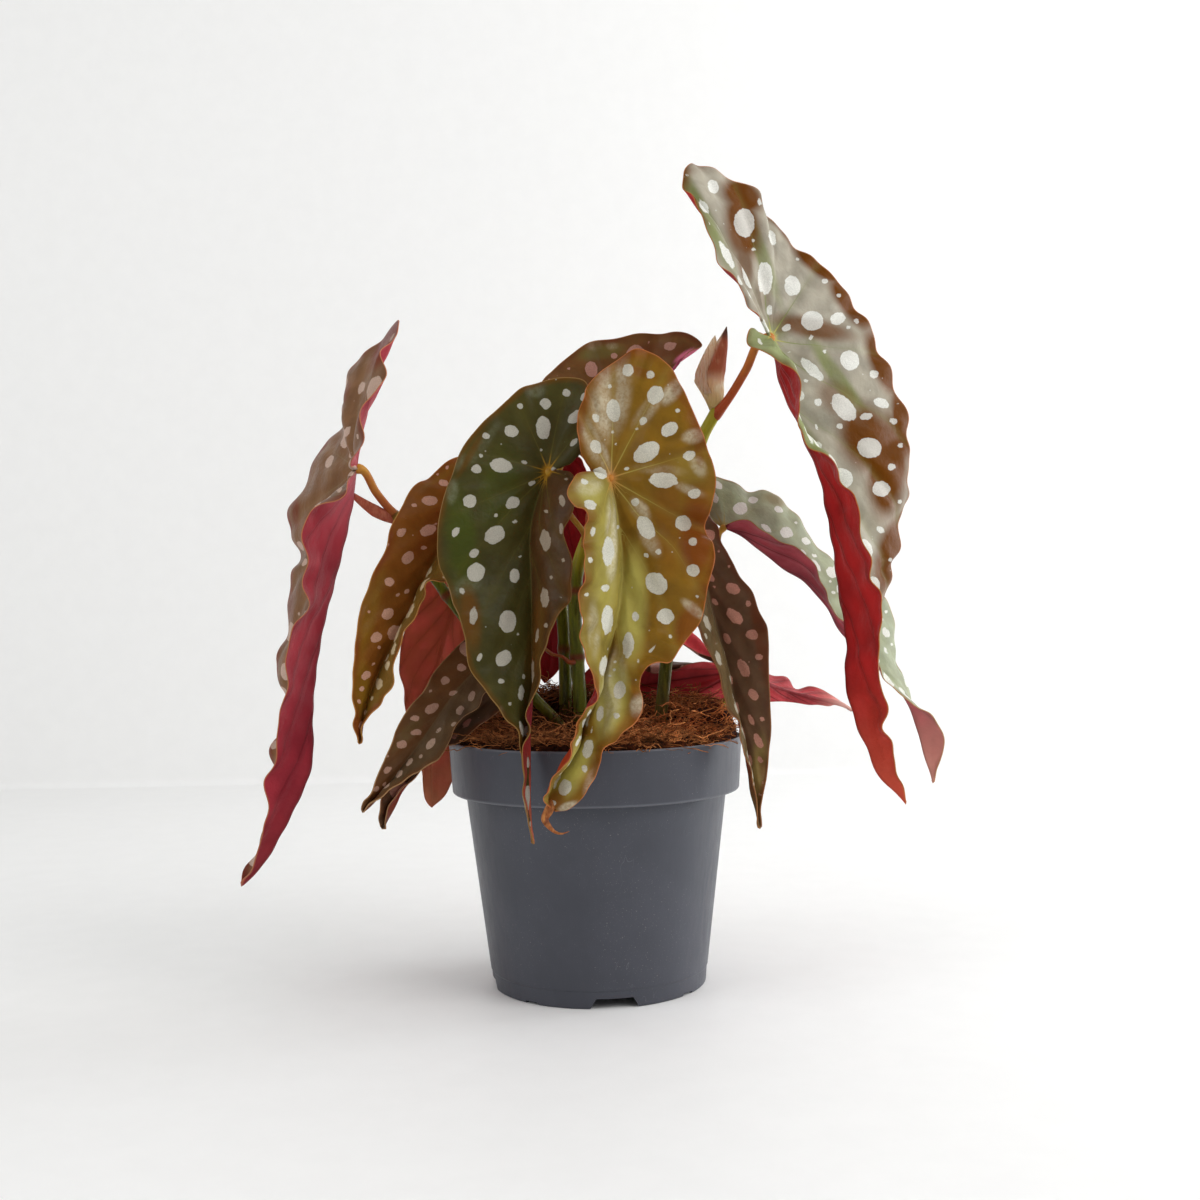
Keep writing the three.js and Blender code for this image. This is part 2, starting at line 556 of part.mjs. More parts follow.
function caneTube(stem, extra) {
  const [x, y] = stem.cane[0];
  const route = [[x, y, CANE_FOOT_Z], ...stem.cane].map(vec);
  return tube(route, stem.radius + extra, CANE_STEP);
}

function petioleTube({ leaf: leafName, route }) {
  const { leaf, attachment, under } = leafSeat(leafName);
  const gap = LEAF_THICKNESS / 2 + CLEARANCE;
  const end = attachment.clone().addScaledVector(under, gap);
  const approach = attachment.clone().addScaledVector(under, gap + 3.5);
  const whole = tube([...route.map(vec), approach, end], PETIOLE_RADIUS, PETIOLE_STEP);
  const reach = solidOf(bladeGeometry(leaf, LEAF_THICKNESS + 2 * CLEARANCE));
  return largest(whole.subtract(reach));
}

function jointSwelling(place, radius) {
  const ball = new THREE.SphereGeometry(radius * 1.22, STEM_SIDES, 6);
  return solidOf(ball.scale(1, 1, 0.7).translate(...place));
}

function stemGeometry(stem) {
  let solid = caneTube(stem, 0);
  for (const place of stem.joints) solid = solid.add(jointSwelling(place, stem.radius));
  for (const petiole of stem.petioles) solid = solid.add(petioleTube(petiole));
  for (const twig of stem.twigs) {
    solid = solid.add(tube(twig.route.map(vec), twig.radius, PETIOLE_STEP));
  }
  return geometryOf(largest(solid));
}

// ---- pot ----
function outerRadius(z) {
  const bandBottom = POT_HEIGHT - RIM_BAND;
  return BASE_RADIUS + ((BODY_TOP_RADIUS - BASE_RADIUS) * z) / bandBottom;
}

// Inner wall from the floor up to the lip, as radius and height.
function innerWall() {
  const bandBottom = POT_HEIGHT - RIM_BAND;
  return [
    [outerRadius(RIDGE_HEIGHT) - WALL, RIDGE_HEIGHT],
    [outerRadius(bandBottom) - WALL, bandBottom - WALL],
    [RIM_RADIUS - 1.2 - WALL, bandBottom + WALL],
    [RIM_RADIUS - WALL, POT_HEIGHT],
  ];
}

function footNotch({ count, turn, topWidth, bottomWidth, height }) {
  const shape = new THREE.Shape([
    new THREE.Vector2(-bottomWidth / 2, -1),
    new THREE.Vector2(bottomWidth / 2, -1),
    new THREE.Vector2(bottomWidth / 2, 0),
    new THREE.Vector2(topWidth / 2, height),
    new THREE.Vector2(-topWidth / 2, height),
    new THREE.Vector2(-bottomWidth / 2, 0),
  ]);
  const cutDepth = 2.5 * FOOT_WIDTH;
  return Array.from({ length: count }, (_, i) => {
    const cutter = new THREE.ExtrudeGeometry(shape, { depth: cutDepth, bevelEnabled: false });
    cutter.rotateX(Math.PI / 2);
    cutter.translate(0, 1.3 * FOOT_WIDTH - BASE_RADIUS, 0);
    cutter.rotateZ(THREE.MathUtils.degToRad(turn + (360 / count) * i));
    return solidOf(cutter);
  });
}

function potGeometry() {
  const bandBottom = POT_HEIGHT - RIM_BAND;
  const footInner = BASE_RADIUS - FOOT_WIDTH;
  const profile = [
    [0, FOOT_HEIGHT],
    [footInner, FOOT_HEIGHT],
    [footInner, 0],
    [BASE_RADIUS - 0.8, 0],
    [BASE_RADIUS, 0.8],
    [outerRadius(RIDGE_HEIGHT) - RIDGE_STEP, RIDGE_HEIGHT - 0.2],
    [outerRadius(RIDGE_HEIGHT), RIDGE_HEIGHT + 0.3],
    [outerRadius(bandBottom), bandBottom],
    [RIM_RADIUS - 1.7, bandBottom + 0.3],
    [RIM_RADIUS - 1.2, bandBottom + 1],
    [RIM_RADIUS, POT_HEIGHT - 0.8],
    [RIM_RADIUS - 0.5, POT_HEIGHT],
    ...innerWall().reverse(),
    [0, RIDGE_HEIGHT],
  ];
  const points = profile.map(([radius, z]) => new THREE.Vector2(radius, z));
  const lathe = new THREE.LatheGeometry(points, POT_SIDES);
  lathe.rotateX(Math.PI / 2);
  let solid = solidOf(lathe);
  const shallow = { ...FOOT_GAP, topWidth: FOOT_GAP.width, bottomWidth: FOOT_GAP.width };
  for (const cut of [...footNotch(NOTCH), ...footNotch(shallow)]) solid = solid.subtract(cut);
  return geometryOf(solid);
}

// ---- coir ----
function coirTop(x, y) {
  let mound = 0;
  for (const { x: atX, y: atY, rise, spread } of MOUNDS) {
    mound += rise * Math.exp(-((x - atX) ** 2 + (y - atY) ** 2) / (2 * spread ** 2));
  }
  const lumps = 0.8 * Math.sin(x * 0.31 + 1) * Math.cos(y * 0.27) + 0.5 * Math.sin(x * 0.7 + y * 0.5);
  return COIR_LEVEL + mound + lumps;
}

function coirGeometry() {
  const sectors = 32;
  const wall = innerWall().map(([radius, z]) => [radius - CLEARANCE, z + CLEARANCE]);
  const topRadius = wall[3][0];
  const rings = [0.16, 0.34, 0.52, 0.68, 0.83, 0.94, 1].map((part) => part * topRadius);
  const positions = [0, 0, coirTop(0, 0)];
  const addRing = (radius, heightAt) => {
    for (let i = 0; i < sectors; i += 1) {
      const angle = (i / sectors) * 2 * Math.PI;
      const [x, y] = [radius * Math.cos(angle), radius * Math.sin(angle)];
      positions.push(x, y, heightAt(x, y));
    }
  };
  rings.forEach((radius, k) => {
    const edge = k === rings.length - 1 ? -1.6 : 0;
    addRing(radius, (x, y) => coirTop(x, y) + edge);
  });
  wall.reverse().slice(1).forEach(([radius, z]) => addRing(radius, () => z));
  positions.push(0, 0, wall[3][1]);
  const last = positions.length / 3 - 1;
  const ringCount = rings.length + 3;
  const faces = [];
  for (let i = 0; i < sectors; i += 1) {
    const next = (i + 1) % sectors;
    faces.push(0, 1 + i, 1 + next);
    for (let k = 0; k < ringCount - 1; k += 1) {
      const [a, b] = [1 + k * sectors + i, 1 + k * sectors + next];
      faces.push(a, a + sectors, b + sectors, a, b + sectors, b);
    }
    const foot = 1 + (ringCount - 1) * sectors;
    faces.push(last, foot + next, foot + i);
  }
  const geometry = new THREE.BufferGeometry();
  geometry.setAttribute("position", new THREE.Float32BufferAttribute(positions, 3));
  geometry.setIndex(faces);
  let solid = solidOf(geometry);
  for (const stem of STEMS) solid = solid.subtract(caneTube(stem, CLEARANCE));
  return geometryOf(largest(solid));
}

// ---- sheath ----
function sheathGeometry() {
  const positions = [];
  for (const { at, width, depth } of SHEATH) {
    for (let i = 0; i < SHEATH_SIDES; i += 1) {
      const angle = (i / SHEATH_SIDES) * 2 * Math.PI;
      positions.push(at[0] + width * Math.cos(angle), at[1] + depth * Math.sin(angle), at[2]);
    }
  }
  positions.push(...SHEATH[0].at, ...SHEATH_TIP);
  const foot = SHEATH.length * SHEATH_SIDES;
  const top = (SHEATH.length - 1) * SHEATH_SIDES;
  const faces = [];
  for (let i = 0; i < SHEATH_SIDES; i += 1) {
    const next = (i + 1) % SHEATH_SIDES;
    faces.push(foot, next, i, foot + 1, top + i, top + next);
    for (let k = 0; k < SHEATH.length - 1; k += 1) {
      const [a, b] = [k * SHEATH_SIDES + i, k * SHEATH_SIDES + next];
      faces.push(a, b, b + SHEATH_SIDES, a, b + SHEATH_SIDES, a + SHEATH_SIDES);
    }
  }
  const geometry = new THREE.BufferGeometry();
  geometry.setAttribute("position", new THREE.Float32BufferAttribute(positions, 3));
  geometry.setIndex(faces);
  geometry.computeVertexNormals();
  return geometry;
}

// ---- the plant ----
const plant = new THREE.Group();
plant.add(named("pot", potGeometry(), POT_PLASTIC));
plant.add(named("coir", coirGeometry(), COIR));
for (const stem of STEMS) plant.add(named(stem.name, stemGeometry(stem), GREEN_STEM));
plant.add(named("shoot_sheath", sheathGeometry(), PAPERY));
for (const leaf of LEAVES) {
  const look = { color: leaf.color, roughness: 0.45, metalness: 0 };
  plant.add(named(leaf.name, bladeGeometry(leaf, LEAF_THICKNESS), look));
}

export default plant;
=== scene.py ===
"""A polka dot begonia in its nursery pot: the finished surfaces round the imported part.

All pieces are made in metres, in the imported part's frame, at their places in it. Control
points of leaves and stems are in millimetres, as the part's source has them. Places that
are read off the reference view are pixels of its 1200 x 1200 frame.
"""
import math

import bpy
import numpy as np
from bpy.props import FloatProperty, FloatVectorProperty, IntProperty, PointerProperty
from bpy.types import Operator, Panel, PropertyGroup
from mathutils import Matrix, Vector
from mathutils.bvhtree import BVHTree
from mathutils.kdtree import KDTree


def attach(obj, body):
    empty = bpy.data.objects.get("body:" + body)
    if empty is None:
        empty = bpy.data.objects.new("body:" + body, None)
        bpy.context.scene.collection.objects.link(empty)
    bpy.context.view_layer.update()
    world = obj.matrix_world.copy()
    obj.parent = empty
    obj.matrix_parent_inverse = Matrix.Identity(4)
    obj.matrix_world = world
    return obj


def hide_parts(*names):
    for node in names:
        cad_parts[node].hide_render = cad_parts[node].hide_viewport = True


bl_info = {
    "name": "Potted Polka Dot Begonia",
    "version": (1, 0, 0),
    "blender": (4, 5, 0),
    "location": "3D View > Sidebar > Begonia",
    "description": "Builds the finished plant, pot and stage round the packed part",
    "category": "Object",
}

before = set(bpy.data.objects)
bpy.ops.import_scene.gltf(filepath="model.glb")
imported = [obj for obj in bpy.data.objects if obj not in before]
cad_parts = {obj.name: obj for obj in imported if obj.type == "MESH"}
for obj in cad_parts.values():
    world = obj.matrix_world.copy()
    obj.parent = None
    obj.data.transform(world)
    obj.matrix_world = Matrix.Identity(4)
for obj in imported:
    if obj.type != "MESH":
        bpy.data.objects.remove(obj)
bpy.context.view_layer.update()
BODY = "root"
MM = 0.001

# The reference view: a level camera turned a little about its line of sight.
VIEW_FROM = (3.1, -577.0, 156.0)
VIEW_ROLL = math.radians(1.1)
VIEW_CENTRE = 600
VIEW_FOCAL = 1400
SENSOR_WIDTH = 36.0
LENS = SENSOR_WIDTH * VIEW_FOCAL / (2 * VIEW_CENTRE)


def linear(red, green, blue):
    """Linear colour from the 0 to 255 values of a colour picker."""
    return tuple(((v / 255 + 0.055) / 1.055) ** 2.4 for v in (red, green, blue))


# ---- leaf outlines, in mm ----
# Each leaf is two halves that share the midrib. The large half's margin starts at the open slit
# beside the stalk, goes round the basal lobe, then down the flank to the tip.
LEAVES = {
    "leaf_front_right": {
        "twist": 1,
        "midrib": [(8, -48, 202), (12, -50, 171), (10, -53, 151), (5, -57, 134), (-1, -62, 118),
            (-8, -67, 102), (-15, -70, 90), (-17, -71, 83), (-15, -71, 80)],
        "lobe": [(4, -50, 203), (0, -53, 206), (-3, -56, 211), (-4, -57, 222), (0, -54, 236),
            (8, -51, 244), (21, -50, 250), (31, -51, 243), (38, -53, 229), (44, -55, 213),
            (47, -57, 199)],
        "flank": [(45, -55, 189), (43, -52, 183), (46, -60, 172), (43, -61, 160),
            (40, -58, 147), (35, -60, 141), (29, -66, 134), (20, -68, 131), (17, -65, 126),
            (18, -70, 118), (15, -76, 112), (9, -77, 107), (4, -76, 103), (2, -73, 97),
            (-1, -76, 91), (-4, -77, 86), (-10, -74, 81)],
        "small_lobe": [(4, -50, 202), (0, -54, 204), (-3, -57, 204), (-8, -63, 196)],
        "small_flank": [(-5, -66, 190), (-1, -68, 185), (-3, -64, 177), (-2, -70, 171),
            (-4, -68, 159), (-4, -72, 149), (-3, -74, 137), (1, -80, 125), (0, -80, 119),
            (-7, -77, 111), (-7, -83, 106), (-9, -86, 101), (-14, -80, 94), (-18, -77, 87)],
    },
    "leaf_front_left": {
        "twist": -1,
        "midrib": [(-16, -36, 206), (-20, -37, 196), (-23, -39, 183), (-23, -42, 164),
            (-23, -44, 147), (-23, -48, 132), (-23, -52, 119), (-24, -56, 108), (-24, -60, 94),
            (-24, -63, 79), (-23, -65, 67)],
        "lobe": [(-11, -38, 207), (-7, -39, 209), (-4, -41, 211), (0, -42, 221), (1, -42, 232),
            (-1, -40, 240), (-8, -38, 242), (-16, -37, 241), (-24, -37, 239), (-34, -39, 231),
            (-42, -42, 223), (-48, -45, 215), (-52, -49, 204)],
        "flank": [(-55, -52, 195), (-57, -55, 183), (-57, -52, 170), (-54, -53, 163),
            (-51, -58, 155), (-47, -60, 143), (-46, -58, 132), (-40, -62, 124), (-34, -66, 116),
            (-29, -66, 110), (-27, -64, 103), (-26, -66, 95), (-26, -67, 86), (-25, -67, 76)],
        "small_lobe": [(-11, -38, 206), (-6, -42, 204), (-5, -48, 198)],
        "small_flank": [(-6, -51, 191), (-10, -52, 182), (-9, -54, 177), (-7, -56, 171),
            (-7, -57, 165), (-8, -58, 157), (-13, -58, 149), (-17, -60, 141), (-19, -61, 134),
            (-20, -63, 125), (-24, -64, 117), (-25, -64, 113), (-24, -66, 107), (-26, -68, 100),
            (-26, -70, 91), (-25, -69, 80)],
    },
    "leaf_far_left": {
        "twist": -1,
        "midrib": [(-94, -12, 211), (-96, -12, 200), (-99, -12, 186), (-105, -12, 163),
            (-109, -12, 148), (-113, -12, 125), (-114, -13, 113), (-115, -14, 91),
            (-121, -15, 76), (-129, -16, 61), (-138, -13, 49), (-145, -9, 43)],
        "lobe": [(-93, -22, 211), (-92, -34, 211), (-87, -38, 220), (-87, -36, 231),
            (-82, -32, 240), (-79, -22, 258), (-76, -8, 271), (-91, 12, 263), (-104, 20, 253),
            (-103, 23, 239), (-116, 27, 223), (-123, 28, 209)],
        "flank": [(-130, 28, 196), (-130, 27, 186), (-125, 24, 174), (-131, 24, 162),
            (-130, 21, 144), (-136, 19, 133), (-130, 14, 120), (-131, 12, 108), (-134, 7, 95),
            (-134, 0, 76), (-139, -5, 57)],
        "small_lobe": [(-93, -22, 208), (-94, -33, 204), (-94, -38, 199)],
        "small_flank": [(-101, -42, 195), (-107, -44, 189), (-110, -44, 181), (-109, -43, 170),
            (-108, -42, 157), (-114, -42, 149), (-117, -40, 138), (-119, -37, 124),
            (-121, -35, 114), (-125, -33, 99), (-128, -30, 84), (-130, -27, 73),
            (-136, -19, 56)],
    },
    "leaf_left_mid": {
        "twist": -1,
        "midrib": [(-50, -18, 197), (-57, -20, 183), (-65, -23, 168), (-74, -27, 149),
            (-83, -31, 131), (-88, -34, 118), (-91, -36, 102)],
        "lobe": [(-47, -17, 198), (-42, -14, 201), (-39, -12, 209), (-46, -13, 215),
            (-56, -17, 213), (-61, -19, 209), (-65, -21, 205)],
        "flank": [(-70, -24, 202), (-74, -28, 194), (-78, -31, 186), (-80, -33, 177),
            (-84, -36, 169), (-87, -37, 161), (-90, -40, 150), (-91, -41, 140), (-92, -42, 129),
            (-92, -42, 118), (-92, -40, 109)],
        "small_lobe": [(-47, -18, 196), (-42, -20, 195), (-40, -24, 188)],
        "small_flank": [(-44, -28, 180), (-49, -32, 172), (-54, -36, 166), (-58, -40, 164),
            (-63, -40, 163), (-65, -42, 157), (-68, -44, 149), (-72, -44, 146), (-73, -43, 141),
            (-76, -44, 133), (-77, -44, 123), (-83, -42, 117), (-88, -40, 110)],
    },
    "leaf_low_left_upper": {
        "twist": -1,
        "midrib": [(-35, -26, 141), (-44, -29, 132), (-54, -34, 121), (-63, -39, 108),
            (-72, -44, 96), (-80, -48, 86), (-88, -51, 78)],
        "lobe": [(-34, -25, 143), (-29, -22, 148), (-32, -20, 157), (-39, -21, 156),
            (-45, -24, 148)],
        "flank": [(-51, -27, 141), (-57, -31, 135), (-62, -35, 129), (-65, -38, 123),
            (-71, -42, 116), (-74, -44, 111), (-77, -48, 103), (-82, -51, 91), (-85, -53, 84)],
        "small_lobe": [(-33, -26, 141), (-29, -23, 137), (-29, -24, 131)],
        "small_flank": [(-35, -28, 125), (-43, -32, 120), (-45, -34, 115), (-50, -36, 112),
            (-53, -39, 109), (-55, -42, 104), (-60, -46, 96), (-65, -49, 94), (-72, -52, 89),
            (-78, -54, 86), (-84, -54, 81)],
    },
    "leaf_low_left_under": {
        "twist": -1,
        "midrib": [(-33, -15, 126), (-41, -19, 118), (-52, -26, 109), (-62, -34, 99),
            (-73, -39, 86), (-82, -42, 70)],
        "lobe": [(-32, -14, 128), (-27, -14, 132), (-31, -14, 136), (-38, -16, 134)],
        "flank": [(-45, -19, 127), (-52, -24, 121), (-58, -29, 114), (-66, -34, 106),
            (-72, -38, 97), (-78, -42, 88), (-82, -45, 80), (-83, -44, 75)],
        "small_lobe": [(-31, -15, 125), (-27, -15, 121), (-30, -18, 116)],
        "small_flank": [(-37, -22, 113), (-43, -26, 109), (-47, -29, 106), (-51, -33, 103),
            (-57, -37, 100), (-61, -40, 96), (-67, -43, 92), (-70, -44, 88), (-75, -46, 85),
            (-78, -46, 79), (-80, -45, 74)],
    },
    "leaf_back_left": {
        "twist": 1,
        "midrib": [(-52, 22, 174), (-59, 24, 157), (-66, 27, 136), (-71, 30, 114),
            (-72, 33, 92), (-72, 33, 67)],
        "lobe": [(-49, 23, 173), (-43, 28, 178), (-45, 30, 187), (-55, 28, 190),
            (-65, 24, 181)],
        "flank": [(-72, 20, 165), (-79, 19, 148), (-82, 20, 139), (-83, 21, 129),
            (-82, 23, 119), (-81, 25, 109), (-79, 27, 96), (-76, 30, 83), (-74, 32, 70)],
        "small_lobe": [(-50, 23, 171), (-44, 27, 167), (-44, 30, 157)],
        "small_flank": [(-48, 36, 139), (-53, 42, 122), (-56, 42, 104), (-59, 40, 89),
            (-63, 37, 78), (-67, 35, 71)],
    },
    "leaf_top_back": {
        "twist": -1,
        "midrib": [(13, -5, 227), (14, -8, 205), (16, -12, 180), (16, -15, 156),
            (15, -17, 134)],
        "lobe": [(19, -6, 233), (27, -9, 241), (34, -12, 249), (39, -18, 253), (46, -14, 258),
            (41, -10, 263), (31, -7, 264), (20, -7, 264), (11, -8, 262), (2, -9, 261),
            (-6, -11, 256), (-14, -13, 249), (-19, -15, 243), (-18, -16, 231), (-11, -14, 221)],
        "flank": [(-1, -13, 211), (3, -14, 196), (4, -16, 178), (6, -18, 160), (9, -18, 144)],
        "small_lobe": [(20, -7, 229), (27, -10, 229), (31, -13, 222)],
        "small_flank": [(31, -16, 207), (29, -18, 187), (26, -19, 167), (22, -19, 150),
            (18, -18, 138)],
    },
    "leaf_top_right": {
        "twist": 1,
        "midrib": [(73, -20, 259), (75, -20, 249), (77, -21, 240), (82, -23, 227),
            (87, -25, 214), (91, -27, 202), (93, -29, 191), (95, -31, 174), (96, -32, 163),
            (98, -33, 150), (99, -34, 137), (98, -35, 122), (101, -36, 110), (105, -37, 98),
            (111, -38, 85), (120, -39, 76)],
        "lobe": [(71, -23, 260), (66, -34, 266), (60, -40, 272), (54, -42, 281), (47, -42, 294),
            (45, -40, 303), (42, -39, 308), (39, -34, 316), (39, -30, 323), (42, -25, 327),
            (48, -20, 328), (57, -14, 325), (70, -6, 321), (75, -3, 312), (85, 0, 301),
            (91, 2, 297), (100, 3, 291), (108, 4, 280)],
        "flank": [(116, 4, 269), (120, 4, 259), (125, 5, 250), (127, 5, 241), (131, 4, 233),
            (132, 3, 220), (131, 1, 212), (131, 0, 198), (128, -3, 191), (126, -4, 185),
            (126, -4, 177), (122, -8, 166), (118, -10, 155), (114, -12, 144), (112, -16, 130),
            (112, -20, 114), (113, -26, 99), (116, -32, 85)],
        "small_lobe": [(71, -22, 259), (67, -27, 260), (63, -31, 260), (63, -36, 254),
            (66, -40, 250), (72, -44, 246)],
        "small_flank": [(77, -47, 243), (80, -48, 237), (80, -49, 229), (79, -50, 220),
            (80, -52, 215), (87, -54, 209), (91, -55, 205), (93, -57, 199), (97, -58, 195),
            (99, -59, 188), (100, -59, 179), (103, -59, 169), (106, -58, 157), (107, -58, 148),
            (107, -57, 139), (106, -56, 132), (108, -54, 120), (110, -52, 111), (110, -50, 105),
            (112, -48, 97), (116, -43, 85)],
    },
    "leaf_right_arch": {
        "twist": 1,
        "midrib": [(55, 5, 185), (62, 6, 182), (69, 8, 177), (79, 11, 169), (90, 14, 162),
            (99, 17, 152), (104, 19, 143), (112, 21, 134), (119, 23, 127), (126, 25, 121),
            (131, 26, 116), (135, 27, 109), (139, 28, 99), (142, 29, 88), (146, 29, 74)],
        "lobe": [(54, 6, 187), (48, 8, 189), (45, 14, 195), (46, 18, 204), (52, 22, 208),
            (60, 25, 206)],
        "flank": [(67, 28, 202), (75, 31, 202), (83, 33, 198), (89, 35, 192), (95, 36, 183),
            (99, 37, 177), (105, 38, 172), (113, 39, 168), (121, 40, 163), (128, 41, 155),
            (131, 41, 150), (133, 41, 144), (132, 40, 135), (133, 39, 127), (136, 38, 118),
            (139, 37, 110), (143, 35, 101), (146, 33, 92), (147, 31, 82)],
        "small_lobe": [(56, 4, 186), (58, -1, 187)],
        "small_flank": [(64, -6, 187), (69, -8, 184), (75, -8, 179), (83, -8, 176),
            (89, -6, 171), (93, -3, 165), (96, 0, 158), (98, 3, 152), (105, 5, 145),
            (112, 8, 136), (119, 12, 127), (125, 15, 118), (132, 17, 111), (138, 17, 108),
            (144, 18, 103), (149, 21, 94), (148, 25, 84)],
    },
    "leaf_right_front": {
        "twist": 1,
        "midrib": [(39, -20, 195), (43.5, -22, 171), (48.5, -25, 146), (52.5, -28, 130),
            (55, -32, 114), (58, -36, 99), (60, -39, 82), (63, -40, 67)],
        "lobe": [(37, -19, 196), (36, -15, 200), (38, -12, 206), (42, -12, 208), (45, -14, 204),
            (47, -17, 193)],
        "flank": [(51, -20, 181), (54, -22, 174), (58, -25, 165), (63, -28, 158),
            (65, -30, 151), (68, -33, 144), (68, -35, 135), (68, -35, 126), (68, -37, 116),
            (68, -38, 103), (67, -39, 97), (66, -40, 88), (64, -41, 79), (63, -41, 72)],
        "small_lobe": [(37, -20, 194), (36, -23, 189), (35, -27, 177)],
        "small_flank": [(37, -33, 163), (41, -38, 145), (43, -40, 138), (48, -43, 127),
            (50, -45, 117), (53, -46, 110), (56, -46, 103), (57, -46, 96), (60, -45, 87),
            (61, -43, 76)],
    },
    "leaf_back_right_low": {
        "twist": 1,
        "midrib": [(64, 48, 123), (77, 58, 117), (90, 68, 112), (103, 76, 108), (115, 82, 105),
            (122, 85, 101)],
        "lobe": [(61, 46, 124), (53, 42, 127), (47, 38, 128), (41, 36, 127), (34, 35, 124.5),
            (25, 35, 124), (17, 35, 126), (8, 35, 127), (0, 36, 127), (-5, 37, 123),
            (-3, 39, 116), (8, 41, 114), (20, 42, 112.5), (32, 43, 111), (42, 45, 110),
            (53, 48, 108)],
        "flank": [(66, 55, 107), (80, 64, 108), (91, 71, 107), (101, 77, 105), (109, 81, 105),
            (117, 84, 104)],
        "small_lobe": [(61, 49, 125), (53, 51, 129), (46, 54, 132), (40, 57, 136),
            (38, 62, 139), (44, 66, 140), (51, 70, 134), (61, 74, 129)],
        "small_flank": [(72, 78, 125), (82, 81, 120), (90, 83, 117), (95, 84, 113),
            (102, 86, 113), (112, 86, 109), (117, 86, 105)],
    },
    "leaf_back_centre": {
        "twist": 1,
        "midrib": [(-10, 15, 220), (-12, 22, 199), (-15, 28, 174), (-18, 33, 148),
            (-20, 36, 129), (-22, 38, 120)],
        "lobe": [(-9, 15, 221), (-4, 14, 224), (-2, 12, 230), (-8, 10, 235), (-16, 10, 236),
            (-25, 12, 230), (-30, 15, 220)],
        "flank": [(-32, 18, 208), (-34, 22, 191), (-33, 26, 174), (-32, 30, 157),
            (-30, 33, 141), (-27, 36, 127)],
        "small_lobe": [(-8, 16, 218), (-4, 17, 216), (-2, 19, 213), (-1, 21, 205)],
        "small_flank": [(0, 24, 193), (-1, 28, 178), (-3, 31, 160), (-6, 34, 147),
            (-11, 37, 134), (-17, 38, 124)],
    },
}

# ---- how each leaf is finished ----
# grid is the mesh's cell in mm, and edge how far in mm the blush reaches in from the margin.
# wave and quilt scale the user's sizes, and ripple is the length of a wave in mm.
# dawn is how strong a painted pink sheen is on the underside near the stalk, and lit how lit
# through the underside is.
COMMON_LOOK = {
    "grid": 1.0, "edge": 3.0, "shine": 0.4, "wave": 1.0, "quilt": 0.8, "veins": 0.5,
    "gloss": 0.1, "painted_underside_sheen": 0.0, "lit": 0.24,
}
